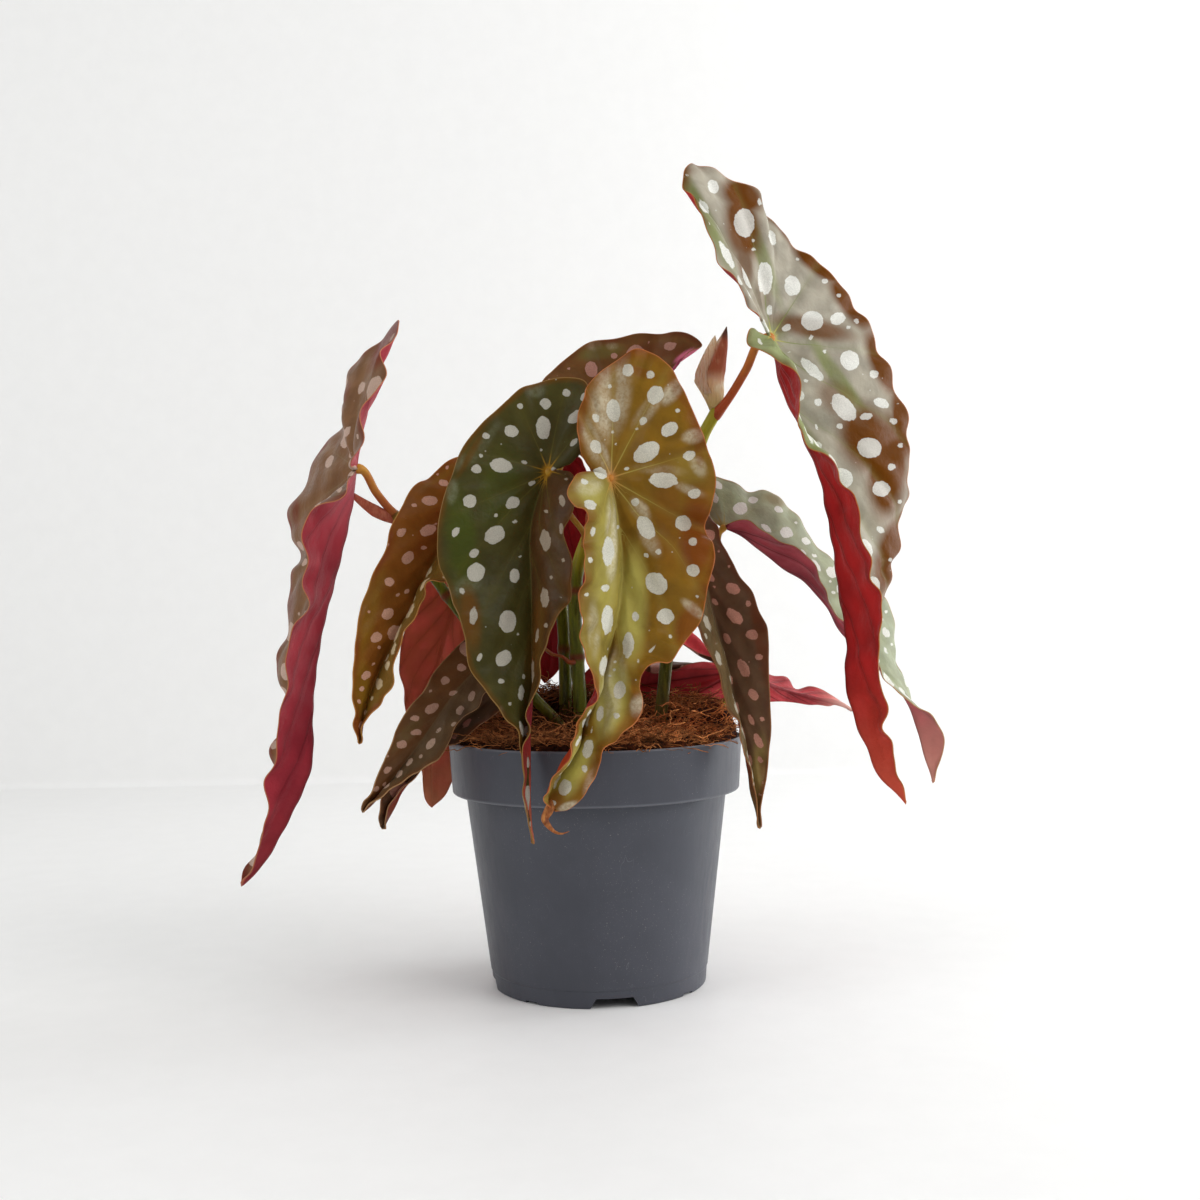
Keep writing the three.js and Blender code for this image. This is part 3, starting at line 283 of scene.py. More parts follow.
# What a leaf's tones are for: main and small are the large and the small half, blush and moss
# the painted colour patches, and glow the tone of painted highlights, which shine scales.
TONES = ("main", "small", "blush", "moss", "glow", "vein", "hub", "spot", "small_spot", "rim",
    "under", "under_vein", "through", "tip")
LEAF_LOOKS = {
    # Its moss tone is the green-gold zones' own colour, made lighter with painted light on the
    # lower blade.
    "leaf_front_right": {
        "slot": "leaf_olive", "grid": 0.8, "edge": 7.0, "shine": 0.8, "veins": 0.65, "wave": 1.7,
        "quilt": 1.2, "ripple": 15,
        "tones": [(128, 94, 26), (150, 136, 66), (120, 62, 18), (186, 178, 92), (236, 230, 206),
            (176, 160, 80), (206, 140, 70), (212, 208, 192), (226, 226, 212), (196, 116, 66),
            (168, 36, 26), (120, 26, 24), (230, 60, 30), (190, 90, 40)],
    },
    "leaf_front_left": {
        "slot": "leaf_green", "grid": 0.8, "shine": 0.6, "quilt": 0.45, "ripple": 17,
        "tones": [(65, 63, 28), (78, 50, 26), (98, 62, 16), (62, 72, 18), (146, 150, 124),
            (96, 88, 38), (196, 142, 40), (186, 182, 168), (164, 148, 128), (156, 120, 68),
            (168, 36, 44), (120, 26, 34), (230, 50, 50), (206, 116, 84)],
    },
    "leaf_far_left": {
        "slot": "leaf_brown", "edge": 6.0, "painted_underside_sheen": 0.4, "wave": 2.2, "ripple": 27,
        "tones": [(126, 92, 62), (116, 92, 68), (112, 42, 30), (100, 100, 70), (176, 162, 142),
            (140, 118, 80), (170, 110, 60), (204, 176, 158), (204, 176, 158), (200, 130, 90),
            (192, 62, 75), (114, 24, 36), (230, 60, 80), (136, 46, 50)],
    },
    "leaf_left_mid": {
        "slot": "leaf_copper", "grid": 0.8, "edge": 4.0, "wave": 1.1, "quilt": 0.7, "ripple": 16,
        "tones": [(134, 82, 30), (112, 88, 36), (122, 56, 22), (132, 100, 28), (168, 150, 112),
            (132, 94, 36), (170, 110, 40), (214, 166, 142), (208, 188, 150), (196, 142, 76),
            (140, 40, 36), (100, 26, 26), (230, 60, 40), (150, 84, 50)],
    },
    "leaf_low_left_upper": {
        "slot": "leaf_dark", "grid": 0.8, "wave": 1.3, "ripple": 16,
        "tones": [(92, 60, 32), (86, 68, 46), (92, 58, 28), (88, 80, 44), (140, 132, 116),
            (98, 80, 54), (120, 80, 50), (172, 134, 114), (172, 144, 124), (176, 136, 94),
            (140, 38, 36), (100, 24, 26), (220, 60, 50), (120, 84, 56)],
    },
    "leaf_low_left_under": {
        "slot": "leaf_dark", "grid": 0.9, "shine": 0.3, "wave": 1.2, "ripple": 16,
        "tones": [(76, 54, 36), (72, 58, 42), (92, 52, 26), (84, 74, 44), (120, 112, 98),
            (92, 74, 50), (110, 76, 48), (150, 108, 92), (150, 108, 92), (170, 126, 86),
            (150, 40, 38), (104, 24, 28), (220, 60, 50), (130, 84, 60)],
    },
    # Its pale orange underside tip tone is painted light: the glow of light coming through it.
    "leaf_back_left": {
        "slot": "leaf_brown", "edge": 1.5, "lit": 0.62, "wave": 0.9, "ripple": 20,
        "tones": [(156, 170, 44), (156, 170, 44), (112, 64, 28), (92, 96, 46), (150, 144, 120),
            (124, 110, 62), (160, 110, 60), (196, 178, 158), (196, 178, 158), (196, 116, 76),
            (242, 106, 106), (108, 26, 26), (255, 180, 150), (255, 180, 140)],
    },
    "leaf_top_back": {
        "slot": "leaf_brown", "grid": 0.9, "edge": 4.0, "shine": 0.9, "ripple": 20,
        "tones": [(112, 80, 42), (104, 72, 40), (96, 50, 26), (106, 104, 52), (190, 176, 146),
            (110, 82, 44), (130, 90, 50), (190, 144, 126), (190, 144, 126), (160, 110, 62),
            (220, 120, 150), (120, 30, 50), (240, 70, 110), (130, 70, 50)],
    },
    "leaf_top_right": {
        "slot": "leaf_sage", "grid": 1.05, "edge": 6.0, "shine": 0.5, "gloss": 0.04, "veins": 0.8,
        "wave": 1.3, "quilt": 1.2, "ripple": 19,
        "tones": [(162, 156, 140), (139, 150, 97), (96, 54, 0), (118, 126, 76), (190, 188, 174),
            (122, 134, 76), (216, 204, 120), (226, 226, 218), (224, 225, 212), (196, 120, 66),
            (200, 46, 46), (108, 18, 16), (230, 50, 30), (226, 96, 70)],
    },
    # Its underside tone is partly painted sheen: paler pink than its own burgundy.
    "leaf_right_arch": {
        "slot": "leaf_sage", "grid": 0.9, "edge": 2.0, "wave": 0.9, "quilt": 0.6, "ripple": 18,
        "tones": [(152, 158, 128), (152, 158, 128), (124, 96, 54), (140, 158, 112),
            (176, 176, 156), (150, 150, 104), (170, 150, 70), (222, 222, 212), (222, 222, 212),
            (200, 150, 100), (222, 100, 112), (70, 12, 22), (190, 40, 60), (250, 180, 160)],
    },
    "leaf_right_front": {
        "slot": "leaf_dark", "grid": 0.8, "wave": 1.2, "ripple": 16,
        "tones": [(96, 72, 52), (122, 106, 72), (96, 50, 26), (148, 128, 74), (140, 130, 110),
            (98, 78, 50), (120, 84, 50), (196, 140, 120), (208, 204, 182), (160, 108, 64),
            (140, 38, 36), (96, 22, 24), (220, 50, 40), (110, 106, 56)],
    },
    "leaf_back_right_low": {
        "slot": "leaf_dark", "ripple": 18,
        "tones": [(84, 58, 44), (84, 58, 44), (108, 60, 38), (86, 78, 46), (140, 128, 112),
            (108, 84, 56), (110, 70, 50), (190, 144, 130), (190, 144, 130), (170, 100, 76),
            (236, 80, 86), (70, 16, 18), (170, 50, 50), (246, 196, 180)],
    },
    "leaf_back_centre": {
        "slot": "leaf_dark", "ripple": 18,
        "tones": [(80, 68, 38), (80, 68, 38), (104, 60, 32), (84, 82, 42), (150, 140, 118),
            (108, 92, 54), (120, 84, 50), (196, 164, 146), (196, 164, 146), (176, 104, 72),
            (160, 38, 44), (108, 20, 26), (240, 70, 80), (120, 24, 26)],
    },
}

# Spots by leaf as they are seen in the reference view: centre x, y, half length, half width in
# pixels, and the turn of the long axis in degrees, clockwise from level.
SPOTS = {
    "leaf_front_right": [
        (628, 370.6, 6.3, 5.3, 90), (650.4, 375.1, 4.3, 3.9, 0), (655.1, 395.1, 9.6, 7.8, -65),
        (609.6, 386.5, 2.2, 2.0, 0), (613.3, 410.8, 11.2, 7.3, 82), (595.3, 418.2, 4.3, 3.5, 60),
        (677.3, 410.4, 2.4, 2.0, 0), (643.5, 421, 4.3, 3.3, -45), (669.4, 429.2, 9.0, 6.5, -30),
        (646.9, 451.8, 14.2, 8.8, -33), (689.2, 455.5, 6.1, 5.1, -20),
        (663.3, 480.4, 14.2, 7.6, 3), (626.5, 468.8, 2.3, 1.8, -30), (595.3, 446.7, 7.1, 5.3, 60),
        (584.3, 482.2, 4.1, 2.5, 20), (694.3, 493.5, 6.5, 5.1, -10), (589.8, 505.1, 6.3, 4.5, 25),
        (635.5, 502.4, 4.2, 3.9, 0), (645.9, 527.8, 12.3, 7.8, 60), (683.1, 523.3, 8.6, 7.8, 40),
        (592.2, 531.8, 5.1, 2.5, 95), (693.3, 542, 4.5, 3.8, 20), (607.6, 551.2, 14.7, 5.8, 92),
        (646.7, 555.1, 2.9, 2.2, 50), (658.6, 552.2, 2.9, 2.8, 0), (590.2, 560.6, 3.5, 2.0, 80),
        (656.5, 583.5, 11.8, 10.2, 45), (693.3, 570.6, 6.5, 6.1, 0), (604.5, 588, 4.1, 3.5, 0),
        (696.9, 596.7, 2.0, 1.8, 0), (586.3, 594.7, 2.3, 2.0, 0), (606.7, 619.6, 14.3, 5.7, 93),
        (635.3, 616.5, 5.1, 3.5, 80), (665.7, 616.5, 8.8, 7.8, 0), (628.6, 645.1, 12.7, 5.6, 95),
        (652, 649.8, 4.5, 1.6, -50), (670.2, 637, 1.9, 1.8, 0), (602.5, 666.1, 9.7, 3.8, 97),
        (619.8, 690.2, 9.1, 5.9, -80), (600.1, 714.4, 7.6, 3.5, -80), (616.7, 716, 3.2, 3.0, 0),
        (588.2, 717, 8.5, 2.1, -72), (588.1, 748.6, 9.1, 5.1, -75), (591.8, 731, 3.0, 1.1, -80),
        (578.8, 739.5, 6.7, 1.3, -60), (584.6, 769.1, 3.5, 2.8, 90), (565.4, 787.7, 8.1, 6.2, -70),
        (557.3, 781.1, 9.0, 1.8, -62), (553.8, 802.8, 2.6, 2.4, 0), (638.4, 662, 1.9, 1.0, 90),
        (615.4, 662.3, 1.2, 1.1, 0), (614.8, 669.8, 1.2, 1.1, 0), (610.2, 676.1, 1.3, 1.2, 0),
        (635.8, 679.3, 1.3, 1.2, 0), (607.5, 649.1, 1.3, 1.3, 0), (617.5, 527, 2.0, 1.4, 90),
        (612.6, 432, 1.4, 1.0, 0), (616, 444, 1.3, 1.3, 0), (637, 429, 1.6, 1.3, 0),
    ],
    "leaf_front_left": [
        (545.9, 403.7, 5.3, 5.1, 0), (543.3, 427.8, 11.4, 7.3, 90), (511.2, 431.2, 6.9, 6.1, 20),
        (566.3, 393.3, 4.3, 3.7, 0), (520, 406.1, 2.9, 2.4, 45), (486.1, 436.1, 3.7, 3.3, 0),
        (501.4, 465.7, 11.4, 6.9, 12), (475.9, 469.2, 5.5, 4.5, 5), (575.3, 417.1, 8.6, 5.1, -40),
        (574.1, 442.4, 4.9, 2.4, -40), (469.4, 501.2, 6.9, 6.3, 0), (512.4, 502.7, 7.6, 5.5, -30),
        (524.1, 462.4, 3.3, 2.2, 30), (532, 483.1, 3.6, 2.4, -30), (455.3, 531.8, 5.5, 3.3, -55),
        (562.2, 500.8, 5.5, 3.1, 80), (494.3, 534.9, 10.6, 8.6, -30), (545.9, 540.4, 10.6, 5.3, 85),
        (474.1, 553.1, 5.3, 4.1, -30), (546.9, 511.8, 2.5, 2.3, 0), (561.6, 529.4, 4.7, 2.0, 90),
        (475.9, 572.7, 10.0, 8.6, -60), (514.3, 575.9, 7.1, 4.9, 90), (462, 591.2, 3.7, 2.9, 60),
        (545.3, 597.8, 9.6, 4.1, 90), (473.3, 615.9, 7.8, 3.7, 95), (507.3, 621.6, 11.2, 8.4, 92),
        (503.2, 658.3, 8.8, 7.2, -50), (479.4, 656.9, 4.0, 2.5, -70), (501.1, 681.4, 3.0, 2.8, 0),
        (520.8, 692.8, 8.3, 2.9, 92), (523.2, 676.4, 2.2, 1.3, 90), (533.4, 670.8, 11.0, 1.5, 92),
        (509.5, 704.3, 2.2, 1.9, 0), (521.6, 729.8, 7.6, 2.0, 80), (514.7, 521.6, 2.9, 2.2, 0),
        (495.7, 515.5, 1.9, 1.6, 0), (546.5, 625.7, 2.5, 2.1, 0), (537.6, 637, 6.5, 1.4, 95),
        (563.7, 560.4, 2.2, 1.6, 90), (551.6, 577.3, 2.0, 1.7, 90), (520.2, 556.7, 1.5, 1.3, 0),
        (541.4, 450.2, 1.4, 1.3, 0), (481, 456, 2.4, 2.0, 60), (566.7, 479.8, 2.0, 1.5, 0),
        (517.5, 634, 1.6, 1.5, 0), (561, 597.5, 1.6, 1.2, 0),
    ],
    "leaf_left_mid": [
        (443.3, 483.1, 5.0, 3.6, 15), (429.5, 500.7, 7.8, 5.0, 5), (414.6, 505.5, 3.0, 1.9, 10),
        (428, 530.4, 8.4, 5.4, -25), (400.8, 532.3, 5.5, 4.0, -45), (423.4, 547.6, 3.3, 2.3, 0),
        (407.7, 557.7, 7.0, 5.3, -40), (388.8, 581.6, 4.8, 4.5, 0), (429, 572.4, 6.3, 1.7, -60),
        (387.4, 613.8, 6.6, 5.3, -40), (410.8, 610.7, 7.2, 2.3, -65), (375.6, 637.1, 6.3, 5.0, -35),
        (406.4, 591.6, 3.0, 2.1, -45), (397.4, 594.6, 2.1, 1.5, -30), (394.5, 649, 7.2, 1.7, -75),
        (365.4, 675.2, 5.3, 4.0, -45), (379.6, 684, 5.8, 3.4, -85), (387.8, 665.6, 4.2, 2.3, -80),
        (361.4, 688.8, 2.6, 2.4, 0), (365.6, 712.3, 2.9, 1.6, -75), (372.9, 698.7, 2.5, 1.3, -75),
        (358.4, 701.6, 2.0, 1.8, 0), (378.8, 647, 1.8, 1.5, 0), (372.9, 663.9, 2.1, 1.3, -40),
        (369.5, 611.7, 2.0, 1.5, 0), (405, 517.7, 1.4, 1.3, 0), (437.6, 474.3, 1.5, 1.3, 0),
        (447.1, 467.8, 1.8, 1.2, -60), (435.7, 523.7, 1.5, 1.2, 0), (387.4, 545, 1.8, 1.1, -60),
    ],
    "leaf_low_left_upper": [
        (444.8, 680.7, 4.8, 4.3, 0), (461.5, 667.7, 4.4, 3.7, 0), (452.9, 693, 4.2, 2.5, -20),
        (431.4, 708.3, 7.8, 4.6, -25), (414.6, 718.2, 4.6, 3.1, 5), (472, 695.8, 5.5, 3.3, -60),
        (460, 710.2, 5.7, 3.1, -60), (416.3, 732.2, 5.4, 3.3, -5), (401.4, 744.2, 5.5, 4.0, -10),
        (430.9, 744, 5.9, 3.4, -50), (439.5, 730, 3.3, 1.6, -40), (453.6, 724.5, 2.9, 1.6, -40),
        (430.3, 691, 1.9, 1.7, 0), (387, 770, 4.6, 3.0, -35), (399.5, 774, 4.2, 2.2, -50),
        (410, 762, 4.2, 2.3, -50), (376, 789, 3.2, 2.0, -50), (421, 757, 2.4, 1.4, -50),
        (387, 756, 2.0, 1.6, 0), (373, 799, 1.6, 1.2, 0),
    ],
    "leaf_low_left_under": [(467, 723.6, 5.5, 2.5, -45), (455, 737, 3.0, 1.8, -45)],
    "leaf_top_back": [
        (591.4, 369.6, 7.8, 6.0, 80), (670.4, 346.5, 6.1, 4.1, -15), (648.4, 342.4, 1.5, 1.3, 0),
        (614, 356, 3.6, 2.8, -20), (568.8, 368.8, 1.5, 1.3, 0),
    ],
    "leaf_top_right": [
        (713, 187, 6.9, 5.4, 75), (744, 223, 14.3, 10.3, 88), (703.5, 206.5, 8.4, 3.6, 60),
        (726, 255, 14.8, 3.7, 62), (764.5, 278, 16.8, 7.4, 88), (792, 286, 10.2, 7.9, 80),
        (772, 238.5, 7.7, 3.3, 75), (812, 321, 11.0, 9.7, 0), (837, 319, 7.9, 6.1, -20),
        (769, 311, 5.4, 2.8, 90), (786.2, 328.2, 4.8, 3.3, -30), (810.8, 338, 3.2, 2.0, -50),
        (856.3, 321.8, 2.9, 2.7, 0), (848.2, 327.3, 2.3, 2.1, 0), (849.3, 360.5, 10.2, 9.2, 60),
        (811.5, 369.5, 14.8, 5.2, 45), (873.5, 374.5, 4.5, 4.1, 0), (881.1, 403.3, 7.7, 4.8, 20),
        (817.6, 402.4, 3.9, 3.6, 0), (843.5, 408, 15.8, 9.2, 50), (865.8, 416.8, 6.0, 3.6, -10),
        (893, 421.3, 4.1, 2.8, 10), (838.9, 426.3, 3.3, 3.0, 0), (869, 448, 12.2, 10.2, 15),
        (891, 467.2, 4.1, 3.3, 0), (899.8, 446, 2.7, 2.5, 0), (880.8, 488.8, 8.8, 7.8, 0),
        (898.8, 501.9, 2.2, 2.0, 0), (880, 529.8, 4.1, 3.0, 45), (833.2, 462.4, 9.7, 3.6, 70),
        (808, 432.5, 11.5, 2.3, 70), (739.6, 281.3, 5.6, 1.6, 62), (824.3, 281.4, 2.9, 2.7, 0),
        (838.3, 295.7, 2.1, 1.9, 0), (797.3, 259.7, 1.8, 1.6, 0), (753, 249.7, 1.9, 1.7, 0),
        (824.5, 351.8, 2.0, 1.8, 0), (788.5, 351.8, 1.6, 1.4, 0), (805.7, 380.8, 2.4, 2.0, 0),
        (760, 342.7, 3.7, 1.6, 60), (759.2, 202.2, 3.7, 1.9, 90), (816.1, 427.5, 3.2, 1.5, 70),
        (686.8, 175.4, 1.7, 1.2, 60), (708.6, 223.1, 2.2, 1.0, 60), (897, 403, 1.5, 1.3, 0),
        (889.6, 559.6, 1.9, 1.5, 0), (752.8, 241, 1.6, 1.4, 0),
    ],
    "leaf_right_arch": [
        (717.3, 485.3, 5.7, 3.7, 35), (713.3, 496.5, 7.1, 3.5, 60), (740.2, 508.8, 7.3, 6.1, 5),
        (752.7, 500.6, 4.9, 3.5, 5), (778.2, 509.8, 4.3, 3.3, 30), (785.9, 532.7, 6.7, 5.5, 20),
        (805.5, 541.2, 4.5, 3.3, 45), (765.7, 528.2, 6.0, 2.6, 35), (795.7, 522.9, 1.8, 1.4, 0),
        (832, 572.7, 6.5, 5.0, 35), (813.7, 556.1, 2.5, 1.6, 30), (815.9, 565.5, 7.0, 2.5, 55),
        (829.6, 581.8, 1.3, 1.2, 0), (833, 592.9, 2.2, 1.4, 0), (885.1, 611.8, 1.7, 1.4, 0),
        (885.5, 632.7, 5.7, 3.1, 60), (891.4, 644.5, 1.5, 1.4, 0), (884.9, 650.6, 4.0, 1.3, 60),
        (897.6, 662.9, 4.0, 1.2, 60),
    ],
    "leaf_right_front": [
        (732.8, 588.6, 7.1, 5.0, 30), (715.4, 602.3, 4.0, 2.7, 45), (748.2, 603.7, 3.2, 2.6, 60),
        (734.9, 616.4, 9.6, 5.5, 42), (751.9, 634.8, 6.1, 5.0, 10), (727.6, 638.5, 5.6, 3.2, 60),
        (706.6, 623.4, 8.6, 2.6, 68), (717.9, 658.6, 7.1, 2.4, 75), (759.2, 657.2, 3.5, 2.9, 0),
        (743.9, 668.5, 10.0, 5.0, 65), (731, 680, 5.1, 1.8, 75), (753.7, 694.7, 6.3, 4.5, 60),
        (736.8, 707, 7.0, 2.4, 78), (751.4, 719.8, 5.0, 2.4, 65), (762, 719.3, 2.8, 2.3, 0),
        (758.8, 741.3, 7.7, 3.7, 65), (742.7, 730.4, 5.7, 1.6, 75), (750.2, 761.2, 6.1, 2.1, 82),
        (760.5, 760.2, 4.2, 2.4, 55), (754.2, 783.9, 2.2, 1.2, 80), (759.3, 794.2, 1.2, 1.0, 0),
        (761.8, 794.7, 1.3, 1.1, 0), (762.6, 782.8, 1.2, 1.1, 0), (711.6, 578.3, 4.2, 3.0, 60),
        (714, 587, 1.2, 1.1, 0), (715.7, 643.8, 1.3, 1.2, 0), (705.3, 635.5, 3.0, 1.0, 70),
        (729, 566.5, 1.7, 1.6, 0), (718.8, 551.2, 1.3, 1.2, 0),
    ],
    "leaf_far_left": [
        (384, 352, 3.4, 2.6, -60), (362, 388, 6.0, 3.0, -60), (364, 412, 4.5, 2.2, -65),
        (347, 432, 5.5, 3.0, -60), (330, 462, 6.5, 3.2, -65), (340, 488, 5.5, 2.6, -65),
        (318, 502, 6.0, 3.2, -70), (311, 545, 6.0, 2.6, -75), (306, 585, 5.0, 2.2, -80),
        (297, 632, 4.5, 2.0, -80),
    ],
}

# Painted patches by leaf and kind, laid on as the spots are: centre x, y, half length, half
# width, turn and strength. Blush and moss are colour; glow patches are painted highlights.
PATCHES = {
    "leaf_front_right": {
        "blush": [(697, 535, 46, 20, 92, 0.95), (688, 625, 26, 12, -70, 0.75),
            (682, 395, 26, 7, 55, 0.6), (580, 420, 24, 6, 100, 0.8), (588, 380, 14, 6, -60, 0.7),
            (668, 520, 60, 16, 88, 0.35), (556, 800, 14, 9, -50, 0.7), (636, 690, 14, 5, 80, 0.5),
            (699, 452, 18, 5, 84, 0.6), (640, 372, 20, 5, 20, 0.5)],
        "moss": [(632, 605, 60, 16, 92, 0.8), (612, 700, 40, 16, -78, 0.9),
            (575, 770, 34, 14, -60, 0.85), (690, 470, 24, 16, -10, 0.15),
            (592, 495, 16, 14, 0, 0.6), (606, 560, 70, 12, 91, 0.5)],
        "glow": [(610, 398, 44, 19, -82, 0.62), (592, 440, 24, 9, 72, 0.6),
            (600, 384, 16, 7, -70, 0.35), (604, 458, 24, 6, 70, 0.5), (672, 392, 16, 8, -50, 0.7),
            (694, 436, 12, 7, -15, 0.75), (648, 410, 22, 8, -50, 0.35),
            (698, 466, 12, 7, 60, 0.65), (588, 486, 14, 10, 0, 0.5), (611, 540, 46, 6, 90, 0.95),
            (640, 510, 14, 8, 55, 0.55), (650, 540, 18, 8, 60, 0.35), (693, 609, 14, 5, 40, 0.8),
            (593, 630, 26, 6, 88, 0.5), (638, 706, 12, 8, -70, 0.75), (592, 780, 16, 6, -65, 0.7),
            (612, 690, 42, 12, -80, 0.5), (568, 806, 11, 4, -20, 0.7), (690, 490, 16, 5, 20, 0.4),
            (660, 470, 26, 6, 5, 0.2)],
    },
    "leaf_front_left": {
        "blush": [(470, 618, 34, 11, 84, 0.9), (505, 402, 40, 5, -38, 0.75),
            (470, 455, 30, 4, -60, 0.55), (536, 640, 50, 9, 98, 0.55)],
        "moss": [(462, 540, 50, 16, 85, 0.9), (500, 490, 46, 22, 100, 0.55)],
        "glow": [(536, 391, 9, 7, 0, 0.55), (452, 492, 12, 6, 95, 0.75),
            (460, 462, 10, 4, -70, 0.5), (466, 586, 16, 10, -20, 0.4),
            (484, 444, 26, 5, -55, 0.3), (556, 560, 50, 9, 90, 0.12)],
    },
    "leaf_left_mid": {
        "moss": [(367, 615, 60, 10, -75, 0.7), (362, 690, 34, 9, 88, 0.8),
            (440, 475, 22, 6, -30, 0.5)],
        "blush": [(432, 530, 36, 11, -60, 0.35), (357, 725, 12, 5, 80, 0.6)],
        "glow": [(421, 487, 12, 6, -40, 0.35), (400, 640, 60, 5, -70, 0.15)],
    },
    "leaf_low_left_upper": {
        "glow": [(470, 705, 22, 8, -55, 0.35), (400, 760, 24, 5, -45, 0.25)],
        "moss": [(405, 735, 26, 7, -45, 0.4)],
    },
    "leaf_top_back": {
        "moss": [(600, 352, 24, 8, -10, 0.8)],
        "glow": [(594, 345, 7, 6, 0, 0.5), (612, 346, 6, 4, 0, 0.4)],
        "blush": [(660, 350, 30, 8, 0, 0.5)],
        "flip": [(684, 356, 12, 3.2, -34, 1.0)],
    },
    "leaf_top_right": {
        "blush": [(742, 196, 24, 17, 30, 1.1), (742, 226, 38, 18, 80, 1.1),
            (744, 258, 30, 8, 80, 0.8), (818, 264, 34, 11, 38, 1.2), (852, 304, 36, 13, 52, 1.2),
            (812, 328, 44, 11, 12, 0.9), (884, 362, 40, 15, 68, 1.2), (887, 466, 56, 22, 92, 1.2),
            (838, 400, 26, 16, 40, 0.6), (868, 440, 40, 30, 60, 1.1),
            (890, 555, 46, 16, -75, 1.1), (902, 420, 50, 11, 85, 1.2),
            (786, 326, 12, 5, -30, 0.6), (762, 290, 10, 24, 5, 0.3)],
        "moss": [(842, 385, 60, 8, 55, 0.9), (760, 250, 60, 7, 70, 0.8),
            (700, 210, 70, 8, 62, 0.9), (820, 470, 60, 10, 65, 0.8), (852, 545, 50, 8, 70, 0.8),
            (775, 330, 14, 10, 0, 0.6)],
        "glow": [(724, 205, 40, 9, 66, 0.35), (800, 300, 50, 20, 40, 0.3),
            (858, 415, 12, 8, 60, 0.6), (868, 560, 26, 9, -80, 0.5), (828, 425, 24, 6, 50, 0.45),
            (752, 195, 10, 5, 60, 0.4), (800, 395, 30, 7, 55, 0.4), (845, 350, 24, 8, 60, 0.4)],
    },
    "leaf_right_arch": {
        "blush": [(776, 500, 14, 6, 20, 0.5)],
        "glow": [(766, 508, 12, 9, 0, 0.35), (893, 655, 22, 3, 60, 0.2)],
        "moss": [(725, 500, 22, 14, 20, 0.3)],
    },
    "leaf_right_front": {
        "blush": [(762, 640, 60, 8, 80, 0.8), (742, 575, 30, 8, 60, 0.6),
            (764, 770, 14, 5, 90, 0.6)],
        "moss": [(760, 775, 40, 9, 92, 0.8)],
        "glow": [(716, 620, 50, 7, 65, 0.25)],
    },
    "leaf_far_left": {
        "glow": [(372, 380, 22, 6, -60, 0.4), (330, 470, 20, 6, -65, 0.3)],
        "blush": [(389, 340, 34, 9, -62, 0.9), (345, 395, 14, 4, -70, 0.5),
            (296, 510, 20, 4, 88, 0.6), (290, 600, 24, 5, -88, 0.5)],
    },
}

# Main veins: fan gives shares of the lobe's margin that a vein runs to from the stalk, and body
# gives where a vein leaves the midrib and where it meets the flank, as shares of its length.
VEINS = {
    "fan": (0.22, 0.42, 0.62, 0.9),
    "body": ((0.0, 0.12), (0.0, 0.3), (0.14, 0.46), (0.28, 0.6), (0.42, 0.73), (0.58, 0.85)),
    "small_fan": (0.7,),
    "small_body": ((0.0, 0.16), (0.0, 0.36), (0.2, 0.52), (0.36, 0.67), (0.54, 0.82)),
}

# ---- stems, in mm ----
STEMS = {
    "cane_left": {
        "radius": 2.2,
        "cane": [(-12, -4, 101), (-24, -6, 116), (-42, -8, 137), (-59, -8, 159), (-71, -7, 177),
            (-80, -5, 192)],
        "joints": [(-42, -8, 137), (-59, -8, 159), (-80, -5, 192)],
        "petioles": [
            ("leaf_far_left", [(-80, -5, 192), (-87, -8.5, 201.5)]),
            ("leaf_left_mid", [(-68, -7, 172), (-62, -7, 182)]),
            ("leaf_back_left", [(-59, -8, 159), (-57, 4, 163)]),
            ("leaf_low_left_upper", [(-39, -8, 134), (-35, -14, 138)]),
            ("leaf_low_left_under", [(-26, -6, 119), (-30, -8, 122)]),
        ],
        "twigs": [],
    },
    "cane_centre_back": {
        "radius": 2.6,
        "cane": [(-12, 6, 98), (-12, 5, 115), (-12, 4, 136), (-13, 5, 156), (-15, 7, 181),
            (-16, 9, 198)],
        "joints": [(-12, 4, 136), (-15, 7, 181)],
        "petioles": [("leaf_back_centre", [(-16, 9, 197), (-14, 9, 207)])],
        "twigs": [],
    },
    "cane_centre_front": {
        "radius": 2.8,
        "cane": [(-6, -2, 97), (-6, -2, 115), (-7, -4, 140), (-7, -6, 160), (-5, -6, 172),
            (0, -4, 185)],
        "joints": [(-6.5, -3, 133), (-7, -6, 160), (0, -4, 185)],
        "petioles": [
            ("leaf_front_left", [(-3, -5, 177), (-3, -14, 183), (-8, -22, 190)]),
            ("leaf_front_right", [(0, -4, 184), (-1, -14, 189), (4, -32, 198)]),
            ("leaf_top_back", [(0, -4, 184), (3, 5, 196), (8, 7, 213)]),
        ],
        "twigs": [(1.0, [(-7, -4, 131), (-10, -8, 131), (-13, -9, 133.5), (-16, -9, 134),
            (-20, -9, 137)])],
    },
    "cane_right": {
        "radius": 2.6,
        "cane": [(26.5, 0, 93), (27, 1, 104), (28.5, 2, 117), (30.5, 3.5, 133), (34, 5, 155),
            (38, 6, 181), (42, 5, 205), (47, 2, 223), (52, 0, 232)],
        "joints": [(30.5, 3.5, 133), (38, 6, 181)],
        "petioles": [
            ("leaf_top_right", [(52, 0, 231), (57, -3, 237), (64, -9, 248)]),
            ("leaf_right_arch", [(37, 6, 172), (45, 7, 172), (52, 8, 177)]),
            ("leaf_right_front", [(42, 5, 203), (42, -3, 200)]),
        ],
        "twigs": [],
    },
    "shoot_back_right": {
        "radius": 1.6,
        "cane": [(44, 25, 100), (52, 30, 107), (60, 36, 113)],
        "joints": [],
        "petioles": [("leaf_back_right_low", [(58, 34.5, 111), (62, 40, 115)])],
        "twigs": [],
    },
}
CANE_FOOT = 80.0
PETIOLE_RADIUS = 1.25
STALK_RADIUS = {"leaf_top_right": 1.85, "leaf_far_left": 1.75}
